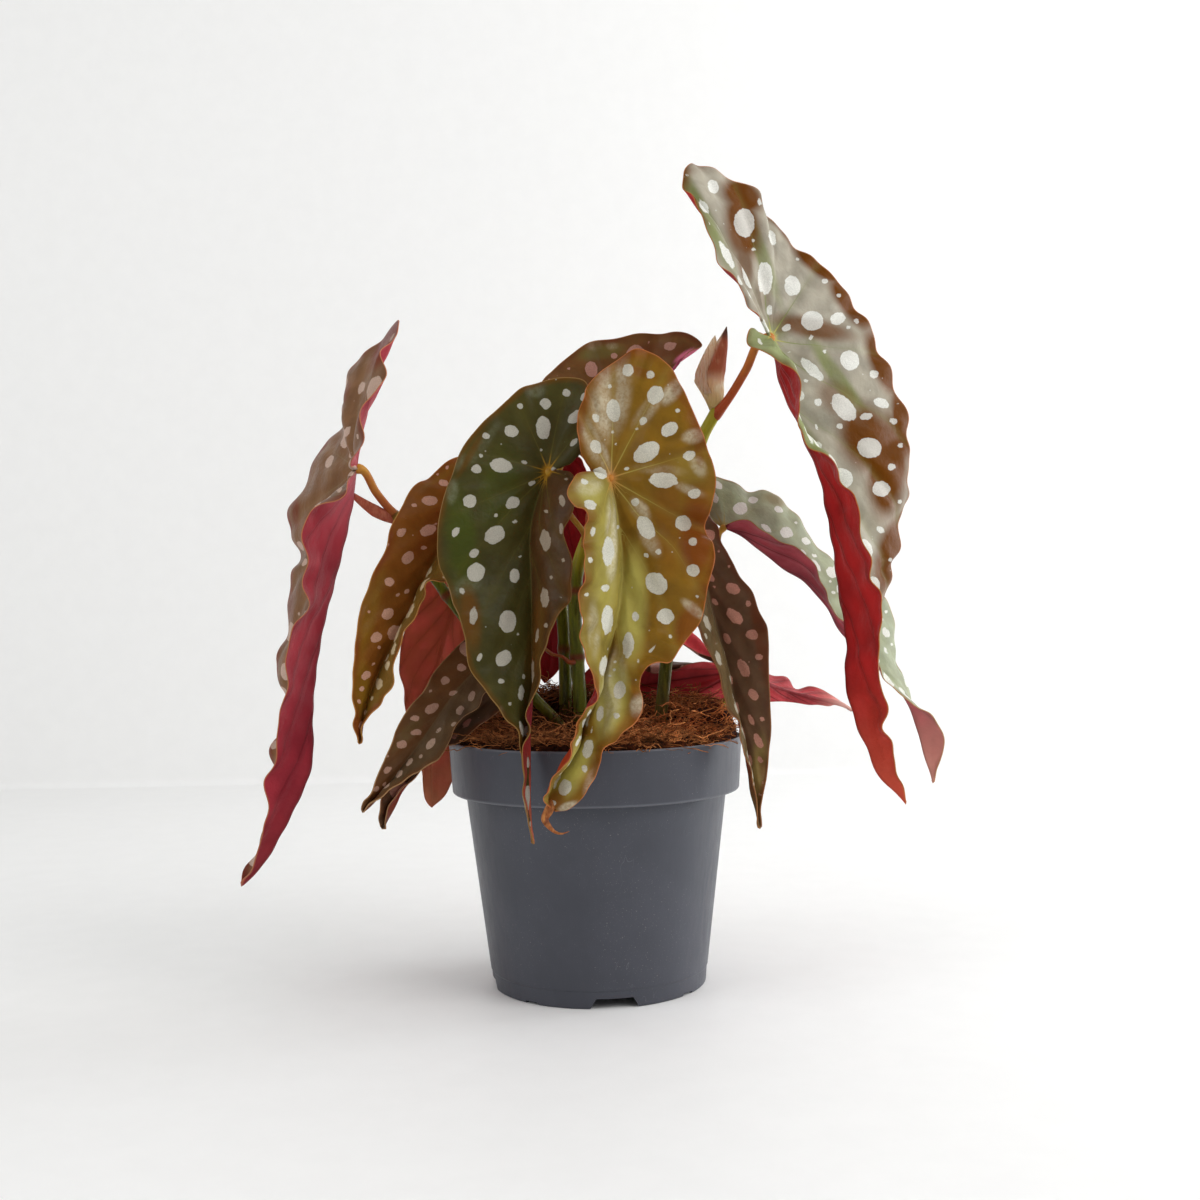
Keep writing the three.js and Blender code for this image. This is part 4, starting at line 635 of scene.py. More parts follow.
# How far a stalk's end reaches into its leaf, and from how far below it comes up to it.
STALK_BITE = 1.15
STALK_APPROACH = {"leaf_far_left": 1.6}
# How green a stalk is: 0 orange, 1 yellow-green.
STALK_TONE = {
    "leaf_far_left": 0.25, "leaf_left_mid": 0.3, "leaf_back_left": 0.9,
    "leaf_low_left_upper": 0.9, "leaf_back_centre": 0.8, "leaf_front_left": 0.5,
    "leaf_right_arch": 0.35,
}

# ---- curves and meshes ----
CHORD_POWER = 0.8
FINE_STEPS = 600


def travelled(points):
    """How far each of a row of points lies along it."""
    steps = np.linalg.norm(np.diff(points, axis=0), axis=1)
    return np.concatenate([[0.0], np.cumsum(steps)])


class Spline:
    """Smooth curve through unevenly spaced points, as the part's source has it."""

    def __init__(self, points):
        self.points = np.array(points, float)
        steps = np.linalg.norm(np.diff(self.points, axis=0), axis=1) ** CHORD_POWER
        self.knots = np.concatenate([[0.0], np.cumsum(steps)])
        rise = np.diff(self.points, axis=0) / steps[:, None]
        before, after = steps[:-1, None], steps[1:, None]
        middle = (rise[:-1] * after + rise[1:] * before) / (before + after)
        self.slopes = np.concatenate([rise[:1], middle, rise[-1:]])

    def at(self, knots):
        last = len(self.points) - 2
        i = np.clip(np.searchsorted(self.knots, knots, side="right") - 1, 0, last)
        span = (self.knots[i + 1] - self.knots[i])[:, None]
        x = np.clip((np.asarray(knots) - self.knots[i])[:, None] / span, 0, 1)
        return (
            (2 * x**3 - 3 * x**2 + 1) * self.points[i]
            + (x**3 - 2 * x**2 + x) * span * self.slopes[i]
            + (3 * x**2 - 2 * x**3) * self.points[i + 1]
            + (x**3 - x**2) * span * self.slopes[i + 1]
        )

    def travel(self, start, end):
        """Knots and distances along the curve between two knots."""
        knots = np.linspace(start, end, FINE_STEPS)
        return knots, travelled(self.at(knots))

    def even(self, start, end, count):
        """Knots that split a stretch into equal lengths, both ends included."""
        knots, distance = self.travel(start, end)
        return np.interp(np.linspace(0, distance[-1], count + 1), distance, knots)

    def length(self, start, end):
        return self.travel(start, end)[1][-1]


def unit(vectors):
    size = np.linalg.norm(vectors, axis=-1, keepdims=True)
    return vectors / np.where(size == 0, 1, size)


def ease(value, low, high):
    x = np.clip((value - low) / (high - low), 0, 1)
    return x * x * (3 - 2 * x)


def linked(name, data):
    """An object that carries this data, in the scene."""
    made = bpy.data.objects.new(name, data)
    bpy.context.scene.collection.objects.link(made)
    return made


def plain_mesh(name, points, faces):
    """A mesh of points in mm and faces of any number of corners."""
    mesh = bpy.data.meshes.new(name)
    mesh.from_pydata((np.asarray(points) * MM).tolist(), [], faces)
    return mesh


def as_modified(made, name):
    """A plain mesh of what an object's modifiers make of it."""
    graph = bpy.context.evaluated_depsgraph_get()
    mesh = bpy.data.meshes.new_from_object(made.evaluated_get(graph))
    mesh.name = name
    return mesh


def dress(mesh, carried, *materials):
    """Give a mesh its per-point values and materials, and shade it smooth."""
    for key, values in carried.items():
        layer = mesh.attributes.new(key, "FLOAT", "POINT")
        layer.data.foreach_set("value", np.asarray(values, np.float32))
    mesh.materials.clear()
    for material in materials:
        mesh.materials.append(material)
    mesh.polygons.foreach_set("use_smooth", [True] * len(mesh.polygons))


def mesh_object(name, points, faces, carried, *materials, slots=None):
    """An object whose mesh has these points in mm, faces, per-point values and materials."""
    mesh = plain_mesh(name, points, np.asarray(faces).tolist())
    dress(mesh, carried, *materials)
    if slots is not None:
        mesh.polygons.foreach_set("material_index", np.asarray(slots, np.int32))
    mesh.update()
    return linked(name, mesh)


def settle(piece, slot, *nodes):
    """The piece rides with the plant and stands for these nodes. The slot is not used."""
    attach(piece, BODY)
    if nodes:
        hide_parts(*nodes)
    return piece


def point_normals(points, triangles):
    corners = points[triangles]
    face = np.cross(corners[:, 1] - corners[:, 0], corners[:, 2] - corners[:, 0])
    normals = np.zeros_like(points)
    for corner in range(3):
        np.add.at(normals, triangles[:, corner], face)
    return unit(normals)


def shell_faces(rings, sides, quads=False):
    """Faces of a closed shell whose points are its rings in order, its foot and its top."""
    index = np.arange(rings * sides).reshape(rings, sides)
    after = np.roll(index, -1, axis=1)
    a, b, c, d = (corner.ravel() for corner in (index[:-1], after[:-1], after[1:], index[1:]))
    foot, top = np.full(sides, index.size), np.full(sides, index.size + 1)
    groups = [(a, b, c, d)] if quads else [(a, b, c), (a, c, d)]
    groups += [(foot, after[0], index[0]), (top, index[-1], after[-1])]
    return [face for group in groups for face in np.stack(group, 1).tolist()]


def joined(parts):
    """Several shells as one: their points, faces and per-point values."""
    starts = np.cumsum([0, *(len(points) for points, _, _ in parts)])
    return (
        np.concatenate([points for points, _, _ in parts]),
        np.concatenate([faces + start for (_, faces, _), start in zip(parts, starts)]),
        {key: np.concatenate([values[key] for _, _, values in parts]) for key in parts[0][2]},
    )


def sweep(route, radii, sides, flat=1.0, caps=2):
    """Closed tube along points, with one radius for each, and how far along each point is."""
    route = np.asarray(route, float)
    ahead = unit(np.gradient(route, axis=0))
    along = travelled(route)
    angles = np.linspace(0, 2 * math.pi, sides, endpoint=False)
    side = np.cross(ahead[0], (0.0, 1.0, 0.02))
    waves = []
    for direction in ahead:
        side = unit(side - direction * np.dot(side, direction))
        over = np.cross(direction, side)
        waves.append(np.cos(angles)[:, None] * side + flat * np.sin(angles)[:, None] * over)
    lifts = [math.sin(cap / (caps + 1) * math.pi / 2) for cap in range(1, caps + 1)]
    last = len(route) - 1
    rows = [(0, -lift) for lift in reversed(lifts)] + [(k, 0.0) for k in range(len(route))]
    rows += [(last, lift) for lift in lifts]
    rings = [route[k] + ahead[k] * lift * radii[k]
        + radii[k] * math.sqrt(1 - lift * lift) * waves[k] for k, lift in rows]
    ends = [route[0] - ahead[0] * radii[0], route[-1] + ahead[-1] * radii[-1]]
    values = np.append(np.repeat([along[k] for k, _ in rows], sides), [0.0, along[-1]])
    return np.concatenate([*rings, ends]), np.array(shell_faces(len(rows), sides)), values


# ---- the reference view ----
def view_pixels(points):
    """Where points fall in the reference view, and how many mm a pixel spans there."""
    scale = (points[:, 1] - VIEW_FROM[1]) / VIEW_FOCAL
    across = (points[:, 0] - VIEW_FROM[0]) / scale
    down = (VIEW_FROM[2] - points[:, 2]) / scale
    cos, sin = math.cos(VIEW_ROLL), math.sin(VIEW_ROLL)
    x = VIEW_CENTRE + across * cos + down * sin
    y = VIEW_CENTRE - across * sin + down * cos
    return np.stack([x, y], 1), scale


def ellipse(offsets, long, short, turn):
    """0 at the centre of an ellipse and 1 on its edge."""
    angle = math.radians(turn)
    x = offsets[:, 0] * math.cos(angle) + offsets[:, 1] * math.sin(angle)
    y = offsets[:, 1] * math.cos(angle) - offsets[:, 0] * math.sin(angle)
    return np.hypot(x / long, y / short)


# ---- leaves ----
# Distances in mm past which a point no longer asks for its stalk, vein or spot, and the
# distance at which two points become one.
HUB_REACH, VEIN_REACH, SPOT_REACH, WELD = 40.0, 12.0, 6.0, 1e-3
# How high a half arches between midrib and margin, as a share of its width.
LEAF_ARCH = 0.05
# Spots by rule: from and to which radius in mm, and how many. TRIES is how often one is tried.
RULED_SPOTS = ((3.0, 4.6, 26), (1.5, 2.5, 40), (0.7, 1.1, 40))
TRIES = 260
POINT_KEYS = ("points", "rib", "out", "edge", "along", "down", "small")
PATCH_KINDS = ("blush", "moss", "glow", "flip")
CARRIED_KEYS = ("spot", "vein", "gap", "vein_width", "edge", "small", "down", "hub")


class Sheet:
    """A leaf's middle surface on a fine grid, with what each of its points knows."""

    def __init__(self, leaf, grid):
        self.leaf, self.grid = leaf, grid
        halves = [
            self.half(leaf["lobe"], leaf["flank"], leaf["twist"], VEINS["fan"], VEINS["body"]),
            self.half(leaf["small_lobe"], leaf["small_flank"], -leaf["twist"],
                VEINS["small_fan"], VEINS["small_body"]),
        ]
        triangles, offset = [], 0
        for small, half in enumerate(halves):
            rows, columns = half["out"].shape
            half["small"] = np.full((rows, columns), float(small))
            index = offset + np.arange(rows * columns).reshape(rows, columns)
            quads = [index[:-1, :-1], index[1:, :-1], index[1:, 1:], index[:-1, 1:]]
            a, b, c, d = (quad.ravel() for quad in quads)
            both = np.concatenate([np.stack([a, b, c], 1), np.stack([a, c, d], 1)])
            triangles.append(both if half["turn"] > 0 else both[:, ::-1])
            offset += rows * columns
        known = {key: np.concatenate([half[key].reshape(-1, *half[key].shape[2:])
            for half in halves]) for key in POINT_KEYS}
        keys = np.round(known["points"] / WELD).astype(np.int64)
        _, first, back = np.unique(keys, axis=0, return_index=True, return_inverse=True)
        back = back.ravel()
        for key, values in known.items():
            setattr(self, key, values[first])
        shared = np.zeros(len(first))
        np.maximum.at(shared, back, known["small"])
        self.small = (self.small + shared) / 2
        triangles = back[np.concatenate(triangles)]
        a, b, c = triangles.T
        self.triangles = triangles[(a != b) & (b != c) & (a != c)]
        self.normals = point_normals(self.points, self.triangles)
        self.attach = np.array(leaf["midrib"][0], float)
        self.hub = np.minimum(np.linalg.norm(self.points - self.attach, axis=1), HUB_REACH)
        self.find_veins([line for half in halves for line in half["veins"]])

    def half(self, lobe, flank, turn, fan_veins, body_veins):
        """Ribs from the midrib to the margin: round the stalk first, then down to the tip."""
        midrib = self.leaf["midrib"]
        spine, margin = Spline(midrib), Spline([*lobe, *flank, midrib[-1]])
        lobe_end = margin.knots[len(lobe) - 1]
        fan_rows = max(6, math.ceil(margin.length(0, lobe_end) / self.grid))
        flanks = [Spline([*self.leaf[name], midrib[-1]]) for name in ("flank", "small_flank")]
        body_rows = math.ceil(max(line.length(0, line.knots[-1]) for line in flanks) / self.grid)
        fan = margin.even(0, lobe_end, fan_rows)
        body = margin.even(lobe_end, margin.knots[-1], body_rows)[1:]
        outer = margin.at(np.concatenate([fan, body]))
        inner = np.concatenate([
            np.repeat(spine.points[:1], fan_rows + 1, 0),
            spine.at(spine.even(0, spine.knots[-1], body_rows)[1:]),
        ])
        rib = outer - inner
        length = np.linalg.norm(rib, axis=1)[:, None]
        columns = math.ceil(length.max() / (1.15 * self.grid))
        up = unit(np.cross(np.gradient(outer, axis=0), rib)) * turn
        up = unit(smoothed(up, max(1, round(4 / self.grid))))
        share = np.linspace(0, 1, columns + 1)
        arch = LEAF_ARCH * length * 4 * share * (1 - share)
        points = inner[:, None] + rib[:, None] * share[:, None] + up[:, None] * arch[..., None]
        ones = np.ones((len(outer), columns + 1))
        down = np.clip((np.arange(len(outer)) - fan_rows) / body_rows, 0, 1)
        return {
            "points": points,
            "turn": turn,
            "out": ones * share,
            "edge": ones * (1 - share) * length,
            "along": ones * travelled(outer)[:, None],
            "down": ones * down[:, None],
            "rib": np.repeat(unit(rib)[:, None], columns + 1, 1),
            "veins": self.vein_lines(points, fan_rows, fan_veins, body_veins),
        }

    @staticmethod
    def vein_lines(points, fan_rows, fan_veins, body_veins):
        """Veins as points on the half, each with its width, wide at the stalk."""
        last_row, last_column = points.shape[0] - 1, points.shape[1] - 1
        body_rows = last_row - fan_rows
        t = np.linspace(0, 1, 160)
        routes = [(0 * t + share * fan_rows, 0.97 * t, 1 - 0.7 * t) for share in fan_veins]
        for start, end in body_veins:
            rows = fan_rows + body_rows * (start + (end - start) * t)
            strength = 1.0 if start == 0 else 0.7
            routes.append((rows, 0.97 * t**1.25, strength * (1 - 0.7 * t)))
        t = np.linspace(0, 1, 400)
        routes.append((fan_rows + body_rows * t, 0 * t, 1.3 - 0.9 * t))
        lines = []
        for rows, across, width in routes:
            rows, column = np.clip(rows, 0, last_row), across * last_column
            r, c = rows.astype(int), column.astype(int)
            r2, c2 = np.minimum(r + 1, last_row), np.minimum(c + 1, last_column)
            u, v = (rows - r)[:, None], (column - c)[:, None]
            line = (points[r, c] * (1 - u) * (1 - v) + points[r2, c] * u * (1 - v)
                + points[r, c2] * (1 - u) * v + points[r2, c2] * u * v)
            lines.append((line, width))
        return lines

    def find_veins(self, lines):
        """Signed and plain distance in mm to the nearest vein, and that vein's width."""
        line = np.concatenate([points for points, _ in lines])
        width = np.concatenate([width for _, width in lines])
        ahead = np.concatenate([unit(np.gradient(points, axis=0)) for points, _ in lines])
        tree = KDTree(len(line))
        for i, point in enumerate(line):
            tree.insert(point, i)
        tree.balance()
        near = np.array([tree.find(point)[1] for point in self.points])
        off = self.points - line[near]
        self.gap = np.minimum(np.linalg.norm(off, axis=1), VEIN_REACH)
        side = np.einsum("ij,ij->i", np.cross(ahead[near], off), self.normals)
        self.vein = self.gap * np.where(side < 0, -1, 1)
        self.vein_width = width[near]

    def relief(self, quilt, wave, ripple_length, rng):
        """Raise the panels between the veins and ruffle the margin."""
        calm = ease(self.hub, 2, 14)
        panel = 1 - np.exp(-((self.gap / 3.2) ** 2))
        lift = quilt * (panel - 0.55) * calm * (1 - 0.6 * ease(self.out, 0.85, 1))
        phase = rng.uniform(0, 2 * math.pi, 4)
        turns = 2 * math.pi * self.along / ripple_length
        ripple = np.sin(turns + phase[0]) + 0.5 * np.sin(1.65 * turns + phase[1])
        ripple *= 0.6 + 0.4 * np.sin(turns / 3 + phase[2])
        lift += wave * ripple * ease(self.out, 0.45, 1) * calm
        x, y, z = self.points.T
        lumps = np.sin(0.33 * x + 0.21 * z + phase[3]) * np.sin(0.29 * z - 0.17 * x + 0.23 * y)
        lift += 0.4 * quilt * lumps * calm
        self.points = self.points + self.normals * lift[:, None]
        self.normals = point_normals(self.points, self.triangles)

    def seen(self):
        """Where the upper side faces the reference view."""
        towards = np.array(VIEW_FROM) - self.points
        return np.einsum("ij,ij->i", towards, self.normals) > 0

    def under_ellipse(self, x, y, long, short, turn):
        """What an ellipse of the view covers: the point of the upper side under its centre,
        the share of its radius at each point, its reach in mm and all distances in mm."""
        facing = np.flatnonzero(self.faces_view)
        distance = np.hypot(*(self.pixels[facing] - (x, y)).T)
        close = facing[distance < 3]
        at = close[np.argmin(self.points[close, 1])] if len(close) else facing[np.argmin(distance)]
        share = ellipse(self.pixels - (x, y), long, short, turn)
        away = np.linalg.norm(self.points - self.points[at], axis=1)
        return at, share, long * self.scale[at], away

    def paint(self, spots, patches, hidden, rng):
        """Distance in mm to the nearest spot, and the strength of each painted patch."""
        self.pixels, self.scale = view_pixels(self.points)
        self.faces_view = self.seen()
        self.spot = np.full(len(self.points), SPOT_REACH)
        self.masks = {kind: np.zeros(len(self.points)) for kind in PATCH_KINDS}
        placed = []
        for x, y, long, short, turn in spots:
            at, share, reach, away = self.under_ellipse(x, y, long, short, turn)
            distance = np.where(away > 3 * reach + 6, SPOT_REACH, (share - 1) * short * self.scale)
            self.spot = np.minimum(self.spot, distance)
            placed.append((self.points[at], reach))
        for kind, rows in patches.items():
            for *place, strength in rows:
                _, share, reach, away = self.under_ellipse(*place)
                mask = strength * (1 - ease(share, 0.5, 1.3)) * (away < 2 * reach + 10)
                self.masks[kind] = np.maximum(self.masks[kind], mask)
        self.scatter(placed, hidden, rng)

    def scatter(self, placed, hidden, rng):
        """Spots by rule where the reference view can't see: big ones between the veins,
        small ones among them."""
        order = rng.permutation(len(self.points))
        sizes = np.concatenate([rng.uniform(*radii) for radii in RULED_SPOTS])
        step = 0
        for size in sizes:
            for at in order[step:step + TRIES]:
                step += 1
                room = min(self.edge[at] - 0.7 * size, self.gap[at] - 0.35 * size)
                if room < 1.0 or not hidden(self.points[at], self.normals[at]):
                    continue
                spacing = [np.linalg.norm(self.points[at] - p) - 1.1 * (size + r)
                    for p, r in placed]
                if spacing and min(spacing) < 2.0:
                    continue
                off = self.points - self.points[at]
                long = off @ self.rib[at]
                short = np.linalg.norm(off - long[:, None] * self.rib[at], axis=1)
                stretch = rng.uniform(1.15, 1.5)
                share = np.hypot(long / (size * stretch), short / size)
                distance = np.where(share < 4, (share - 1) * size, SPOT_REACH)
                self.spot = np.minimum(self.spot, distance)
                placed.append((self.points[at], size * stretch))
                break
            if step >= len(order) - TRIES:
                step = 0
                order = rng.permutation(len(self.points))

    def solid(self, thickness):
        """Points, faces, material slots and per-point values of the closed blade."""
        count = len(self.points)
        half = thickness / 2 * (1 - 0.45 * ease(self.out, 0.9, 1))
        offset = self.normals * half[:, None]
        points = np.concatenate([self.points + offset, self.points - offset])
        upper = self.triangles
        under = upper[:, ::-1] + count
        edges = np.concatenate([upper[:, [0, 1]], upper[:, [1, 2]], upper[:, [2, 0]]])
        forward = edges[:, 0] * count + edges[:, 1]
        backward = edges[:, 1] * count + edges[:, 0]
        open_edges = edges[~np.isin(forward, backward)]
        a, b = open_edges.T
        rim = np.concatenate([np.stack([b, a, a + count], 1),
            np.stack([b, a + count, b + count], 1)])
        faces = np.concatenate([upper, under, rim])
        slots = np.concatenate([np.zeros(len(upper)), np.ones(len(under)), np.zeros(len(rim))])
        carried = {**{key: getattr(self, key) for key in CARRIED_KEYS}, **self.masks}
        return points, faces, slots, {key: np.tile(v, 2) for key, v in carried.items()}

    def stalk_seat(self, clearance):
        """Where the stalk ends under the leaf, and the way out of the underside there."""
        near = np.linalg.norm(self.points - self.attach, axis=1) < 5
        under = -unit(self.normals[near].mean(0))
        at = np.argmin(np.linalg.norm(self.points - self.attach, axis=1))
        return self.points[at] + under * clearance, under


def smoothed(rows, reach):
    """Running mean of rows over a reach on both sides."""
    padded = np.concatenate([np.repeat(rows[:1], reach, 0), rows, np.repeat(rows[-1:], reach, 0)])
    total = np.concatenate([np.zeros((1, rows.shape[1])), np.cumsum(padded, 0)])
    window = 2 * reach + 1
    return (total[window:] - total[:-window]) / window


# ---- materials ----
class Nodes:
    """A node tree that is put together step by step."""

    def __init__(self, tree):
        self.tree = tree

    def node(self, kind, given=None, **settings):
        """A node with these settings, and its inputs given by name or by place."""
        made = self.tree.nodes.new(kind)
        for key, value in settings.items():
            setattr(made, key, value)
        for key, value in (given or {}).items():
            if value is not None:
                by_place = isinstance(key, int)
                self.plug(made.inputs[key] if by_place else live(made.inputs, key), value)
        return made

    def plug(self, socket, value):
        """Join an input to a node's first output or to a socket, or give it a value."""
        if isinstance(value, bpy.types.Node):
            value = live(value.outputs)
        if isinstance(value, bpy.types.NodeSocket):
            self.tree.links.new(value, socket)
        elif isinstance(value, tuple) and len(value) == 3 and socket.type == "RGBA":
            socket.default_value = (*value, 1.0)
        else:
            socket.default_value = value


def live(sockets, name=None):
    """The first socket that is in use, or the one of this name."""
    return next(s for s in sockets if s.enabled and name in (None, s.name))


class Surface(Nodes):
    """The nodes of a material."""

    def __init__(self, name):
        self.material = bpy.data.materials.new(name)
        self.material.use_nodes = True
        super().__init__(self.material.node_tree)
        self.tree.nodes.clear()
        self.coords = self.node("ShaderNodeTexCoord").outputs["Object"]

    def value(self, name):
        """A per-point value of the mesh."""
        return self.node("ShaderNodeAttribute", attribute_name=name).outputs["Fac"]

    def math(self, operation, *values, clamp=False):
        return live(self.node("ShaderNodeMath", dict(enumerate(values)), operation=operation,
            use_clamp=clamp).outputs)

    def times(self, first, second):
        return self.math("MULTIPLY", first, second)

    def plus(self, first, second):
        return self.math("ADD", first, second)

    def ease(self, value, low, high, start=0.0, end=1.0):
        """From start at low to end at high, smoothly."""
        given = dict(enumerate((value, low, high, start, end)))
        return live(self.node("ShaderNodeMapRange", given, interpolation_type="SMOOTHSTEP").outputs)

    def mix(self, share, first, second, blend="MIX"):
        return live(self.node("ShaderNodeMix", {"Factor": share, "A": first, "B": second},
            data_type="RGBA", blend_type=blend).outputs)

    def shaded(self, color, value):
        """A colour made darker or lighter by a value."""
        grey = self.node("ShaderNodeCombineColor", {0: value, 1: value, 2: value})
        return self.mix(1.0, color, grey, "MULTIPLY")

    def noise(self, scale, detail=2.0, roughness=0.5, stretch=None, distortion=0.0):
        return live(self.node("ShaderNodeTexNoise", {"Vector": self.stretched(stretch),
            "Scale": scale, "Detail": detail, "Roughness": roughness,
            "Distortion": distortion}).outputs, "Fac")

    def stretched(self, stretch):
        if stretch is None:
            return self.coords
        return self.node("ShaderNodeMapping", {"Vector": self.coords, "Scale": stretch})

    def away(self, place):
        """Distance from the upright line through a place, in metres."""
        given = {0: self.stretched((1, 1, 0)), 1: place}
        return live(self.node("ShaderNodeVectorMath", given, operation="DISTANCE").outputs)

    def bump(self, height, strength, distance, below=None):
        return self.node("ShaderNodeBump", {"Height": height, "Strength": strength,
            "Distance": distance, "Normal": below})

    def shader(self, color, roughness, normal=None, **constants):
        given = {name.replace("_", " "): value for name, value in constants.items()}
        return self.node("ShaderNodeBsdfPrincipled", {"Base Color": color,
            "Roughness": roughness, "Normal": normal, **given})

    def lit_through(self, shader, color, normal, share):
        """Mix in light that comes through from the other side."""
        through = self.node("ShaderNodeBsdfTranslucent", {"Color": color, "Normal": normal})
        return self.node("ShaderNodeMixShader", {0: share, 1: shader, 2: through})

    def done(self, shader):
        self.node("ShaderNodeOutputMaterial", {"Surface": shader})
        return self.material


def vein_line(s, low, high):
    """1 along the middle of each vein, and 0 from high on, as a share of the vein's width."""
    off = s.math("DIVIDE", s.math("ABSOLUTE", s.value("vein")),
        s.math("MAXIMUM", s.value("vein_width"), 0.12))
    return s.times(s.ease(off, low, high, 1.0, 0.0), s.ease(s.value("gap"), 1.2, 2.0, 1.0, 0.0))


def upper_material(name, look):
    """Upper side of a leaf: ground colours, painted patches and highlights, veins, silver spots,
    rim line.
    """
    s = Surface(name)
    gap, hub, width, edge, small = (s.value(key) for key in (
        "gap", "hub", "vein_width", "edge", "small"))
    mottle = s.noise(95, 4, 0.55, distortion=0.4)
    ground = s.mix(s.times(s.ease(small, 0.2, 0.8), 0.85), look["main"], look["small"])
    ground = s.shaded(ground, s.ease(mottle, 0.3, 0.72, 0.8, 1.14))
    moss = s.times(s.value("moss"), s.ease(mottle, 0.2, 0.6, 0.6, 1.0))
    ground = s.mix(moss, ground, look["moss"])
    reach = s.times(s.ease(edge, 0.0, look["edge"], 1.0, 0.0),
        s.ease(s.noise(38, 3, 0.5), 0.36, 0.6, 0.15, 0.9))
    blush = s.times(s.value("blush"), s.ease(mottle, 0.2, 0.65, 0.8, 1.0))
    warm = s.math("MAXIMUM", reach, blush, clamp=True)
    ground = s.mix(warm, ground, look["blush"])
    ground = s.mix(s.ease(gap, 0.0, 3.0, 0.12, 0.0), ground, look["vein"])
    line = vein_line(s, 0.16, 0.42)
    ground = s.mix(s.times(line, s.ease(width, 0.35, 0.9, 0.06, look["veins"])), ground,
        look["vein"])
    star = s.math("MAXIMUM", s.ease(hub, 0.8, 3.8, 0.95, 0.0),
        s.times(line, s.ease(hub, 2.0, 9.0, 0.65, 0.0)))
    ground = s.mix(star, ground, look["hub"])
    # Painted highlights: the glow patches lighten the blade, less over the warm tones and the
    # veins.
    sheen = s.times(s.value("glow"), s.ease(s.noise(150, 3, 0.5), 0.3, 0.66, 0.6, 1.0))
    sheen = s.times(sheen, s.math("SUBTRACT", 1.0, s.times(warm, 0.8)))
    sheen = s.times(sheen, s.ease(gap, 0.2, 2.4, 0.35, 1.0))
    sheen = s.times(sheen, s.ease(s.noise(700, 3, 0.65), 0.38, 0.6, 0.6, 1.0))
    ground = s.mix(s.times(sheen, look["shine"]), ground, look["glow"])
    cell = s.node("ShaderNodeTexVoronoi", {"Vector": s.coords, "Scale": 330}, feature="F1").outputs
    chance = s.node("ShaderNodeSeparateColor", {0: cell["Color"]}).outputs[0]
    dots = s.times(s.ease(cell["Distance"], 0.08, 0.13, 1.0, 0.0), s.ease(chance, 0.92, 0.94))
    wobble = s.times(s.math("SUBTRACT", s.noise(420, 2, 0.5), 0.5), 1.2)
    inside = s.ease(s.plus(s.value("spot"), wobble), -0.12, 0.12, 1.0, 0.0)
    silver = s.mix(s.ease(small, 0.2, 0.8), look["spot"], look["small_spot"])
    # Painted shade: spots in the blush zones are dimmed toward the blush tone.
    silver = s.mix(s.times(warm, 0.3), silver, look["blush"])
    silver = s.shaded(silver, s.ease(s.noise(3000, 2, 0.7), 0.34, 0.68, 0.76, 1.05))
    ground = s.mix(s.math("MAXIMUM", inside, s.times(dots, 0.6)), ground, silver)
    ground = s.mix(s.value("flip"), ground, look["under"])
    ground = s.mix(s.times(s.ease(edge, 0.1, 0.42, 1.0, 0.0), 0.75), ground, look["rim"])
    rough = s.plus(s.ease(s.noise(900, 3, 0.6), 0.3, 0.7, 0.32, 0.42), s.times(inside, 0.1))
    height = s.plus(s.noise(520, 3, 0.5), s.times(inside, 0.2))
    bumped = s.bump(height, 0.2, 0.0012, s.bump(s.noise(2400, 2), 0.12, 0.0003))
    shader = s.shader(ground, rough, bumped, Specular_IOR_Level=look["gloss"])
    return s.done(s.lit_through(shader, look["through"], bumped, 0.05))


def under_material(name, look):
    """Underside of a leaf: crimson with raised veins and long soft folds."""
    s = Surface(name)
    mottle = s.noise(60, 3, 0.5, distortion=0.3)
    ground = s.mix(s.ease(mottle, 0.3, 0.72, 0.45, 0.0), look["under"], look["under_vein"])
    ground = s.mix(s.ease(s.value("gap"), 0.0, 3.0, 0.3, 0.0), ground, look["under_vein"])
    line = vein_line(s, 0.35, 0.9)
    ground = s.mix(s.times(line, 0.45), ground, look["under_vein"])
    ground = s.mix(s.ease(s.value("down"), 0.66, 1.0, 0.0, 0.8), ground, look["tip"])
    # Painted sheen: the underside turns paler pink near the stalk.
    ground = s.mix(s.ease(s.value("hub"), 12.0, 36.0, look["painted_underside_sheen"], 0.0), ground,
        linear(236, 130, 140))
    ground = s.mix(s.ease(s.value("edge"), 0.1, 0.6, 0.75, 0.0), ground, look["rim"])
    rough = s.ease(s.noise(1100, 3, 0.6), 0.3, 0.7, 0.42, 0.54)
    folds = s.noise(84, 2, 0.5, stretch=(1, 1, 0.12))
    height = s.plus(s.times(folds, 1.6),
        s.math("SUBTRACT", s.times(s.noise(480, 3, 0.5), 0.35), line))
    bumped = s.bump(height, 0.4, 0.0026)
    shader = s.shader(ground, rough, bumped, Specular_IOR_Level=0.14)
    return s.done(s.lit_through(shader, look["through"], bumped, look["lit"]))


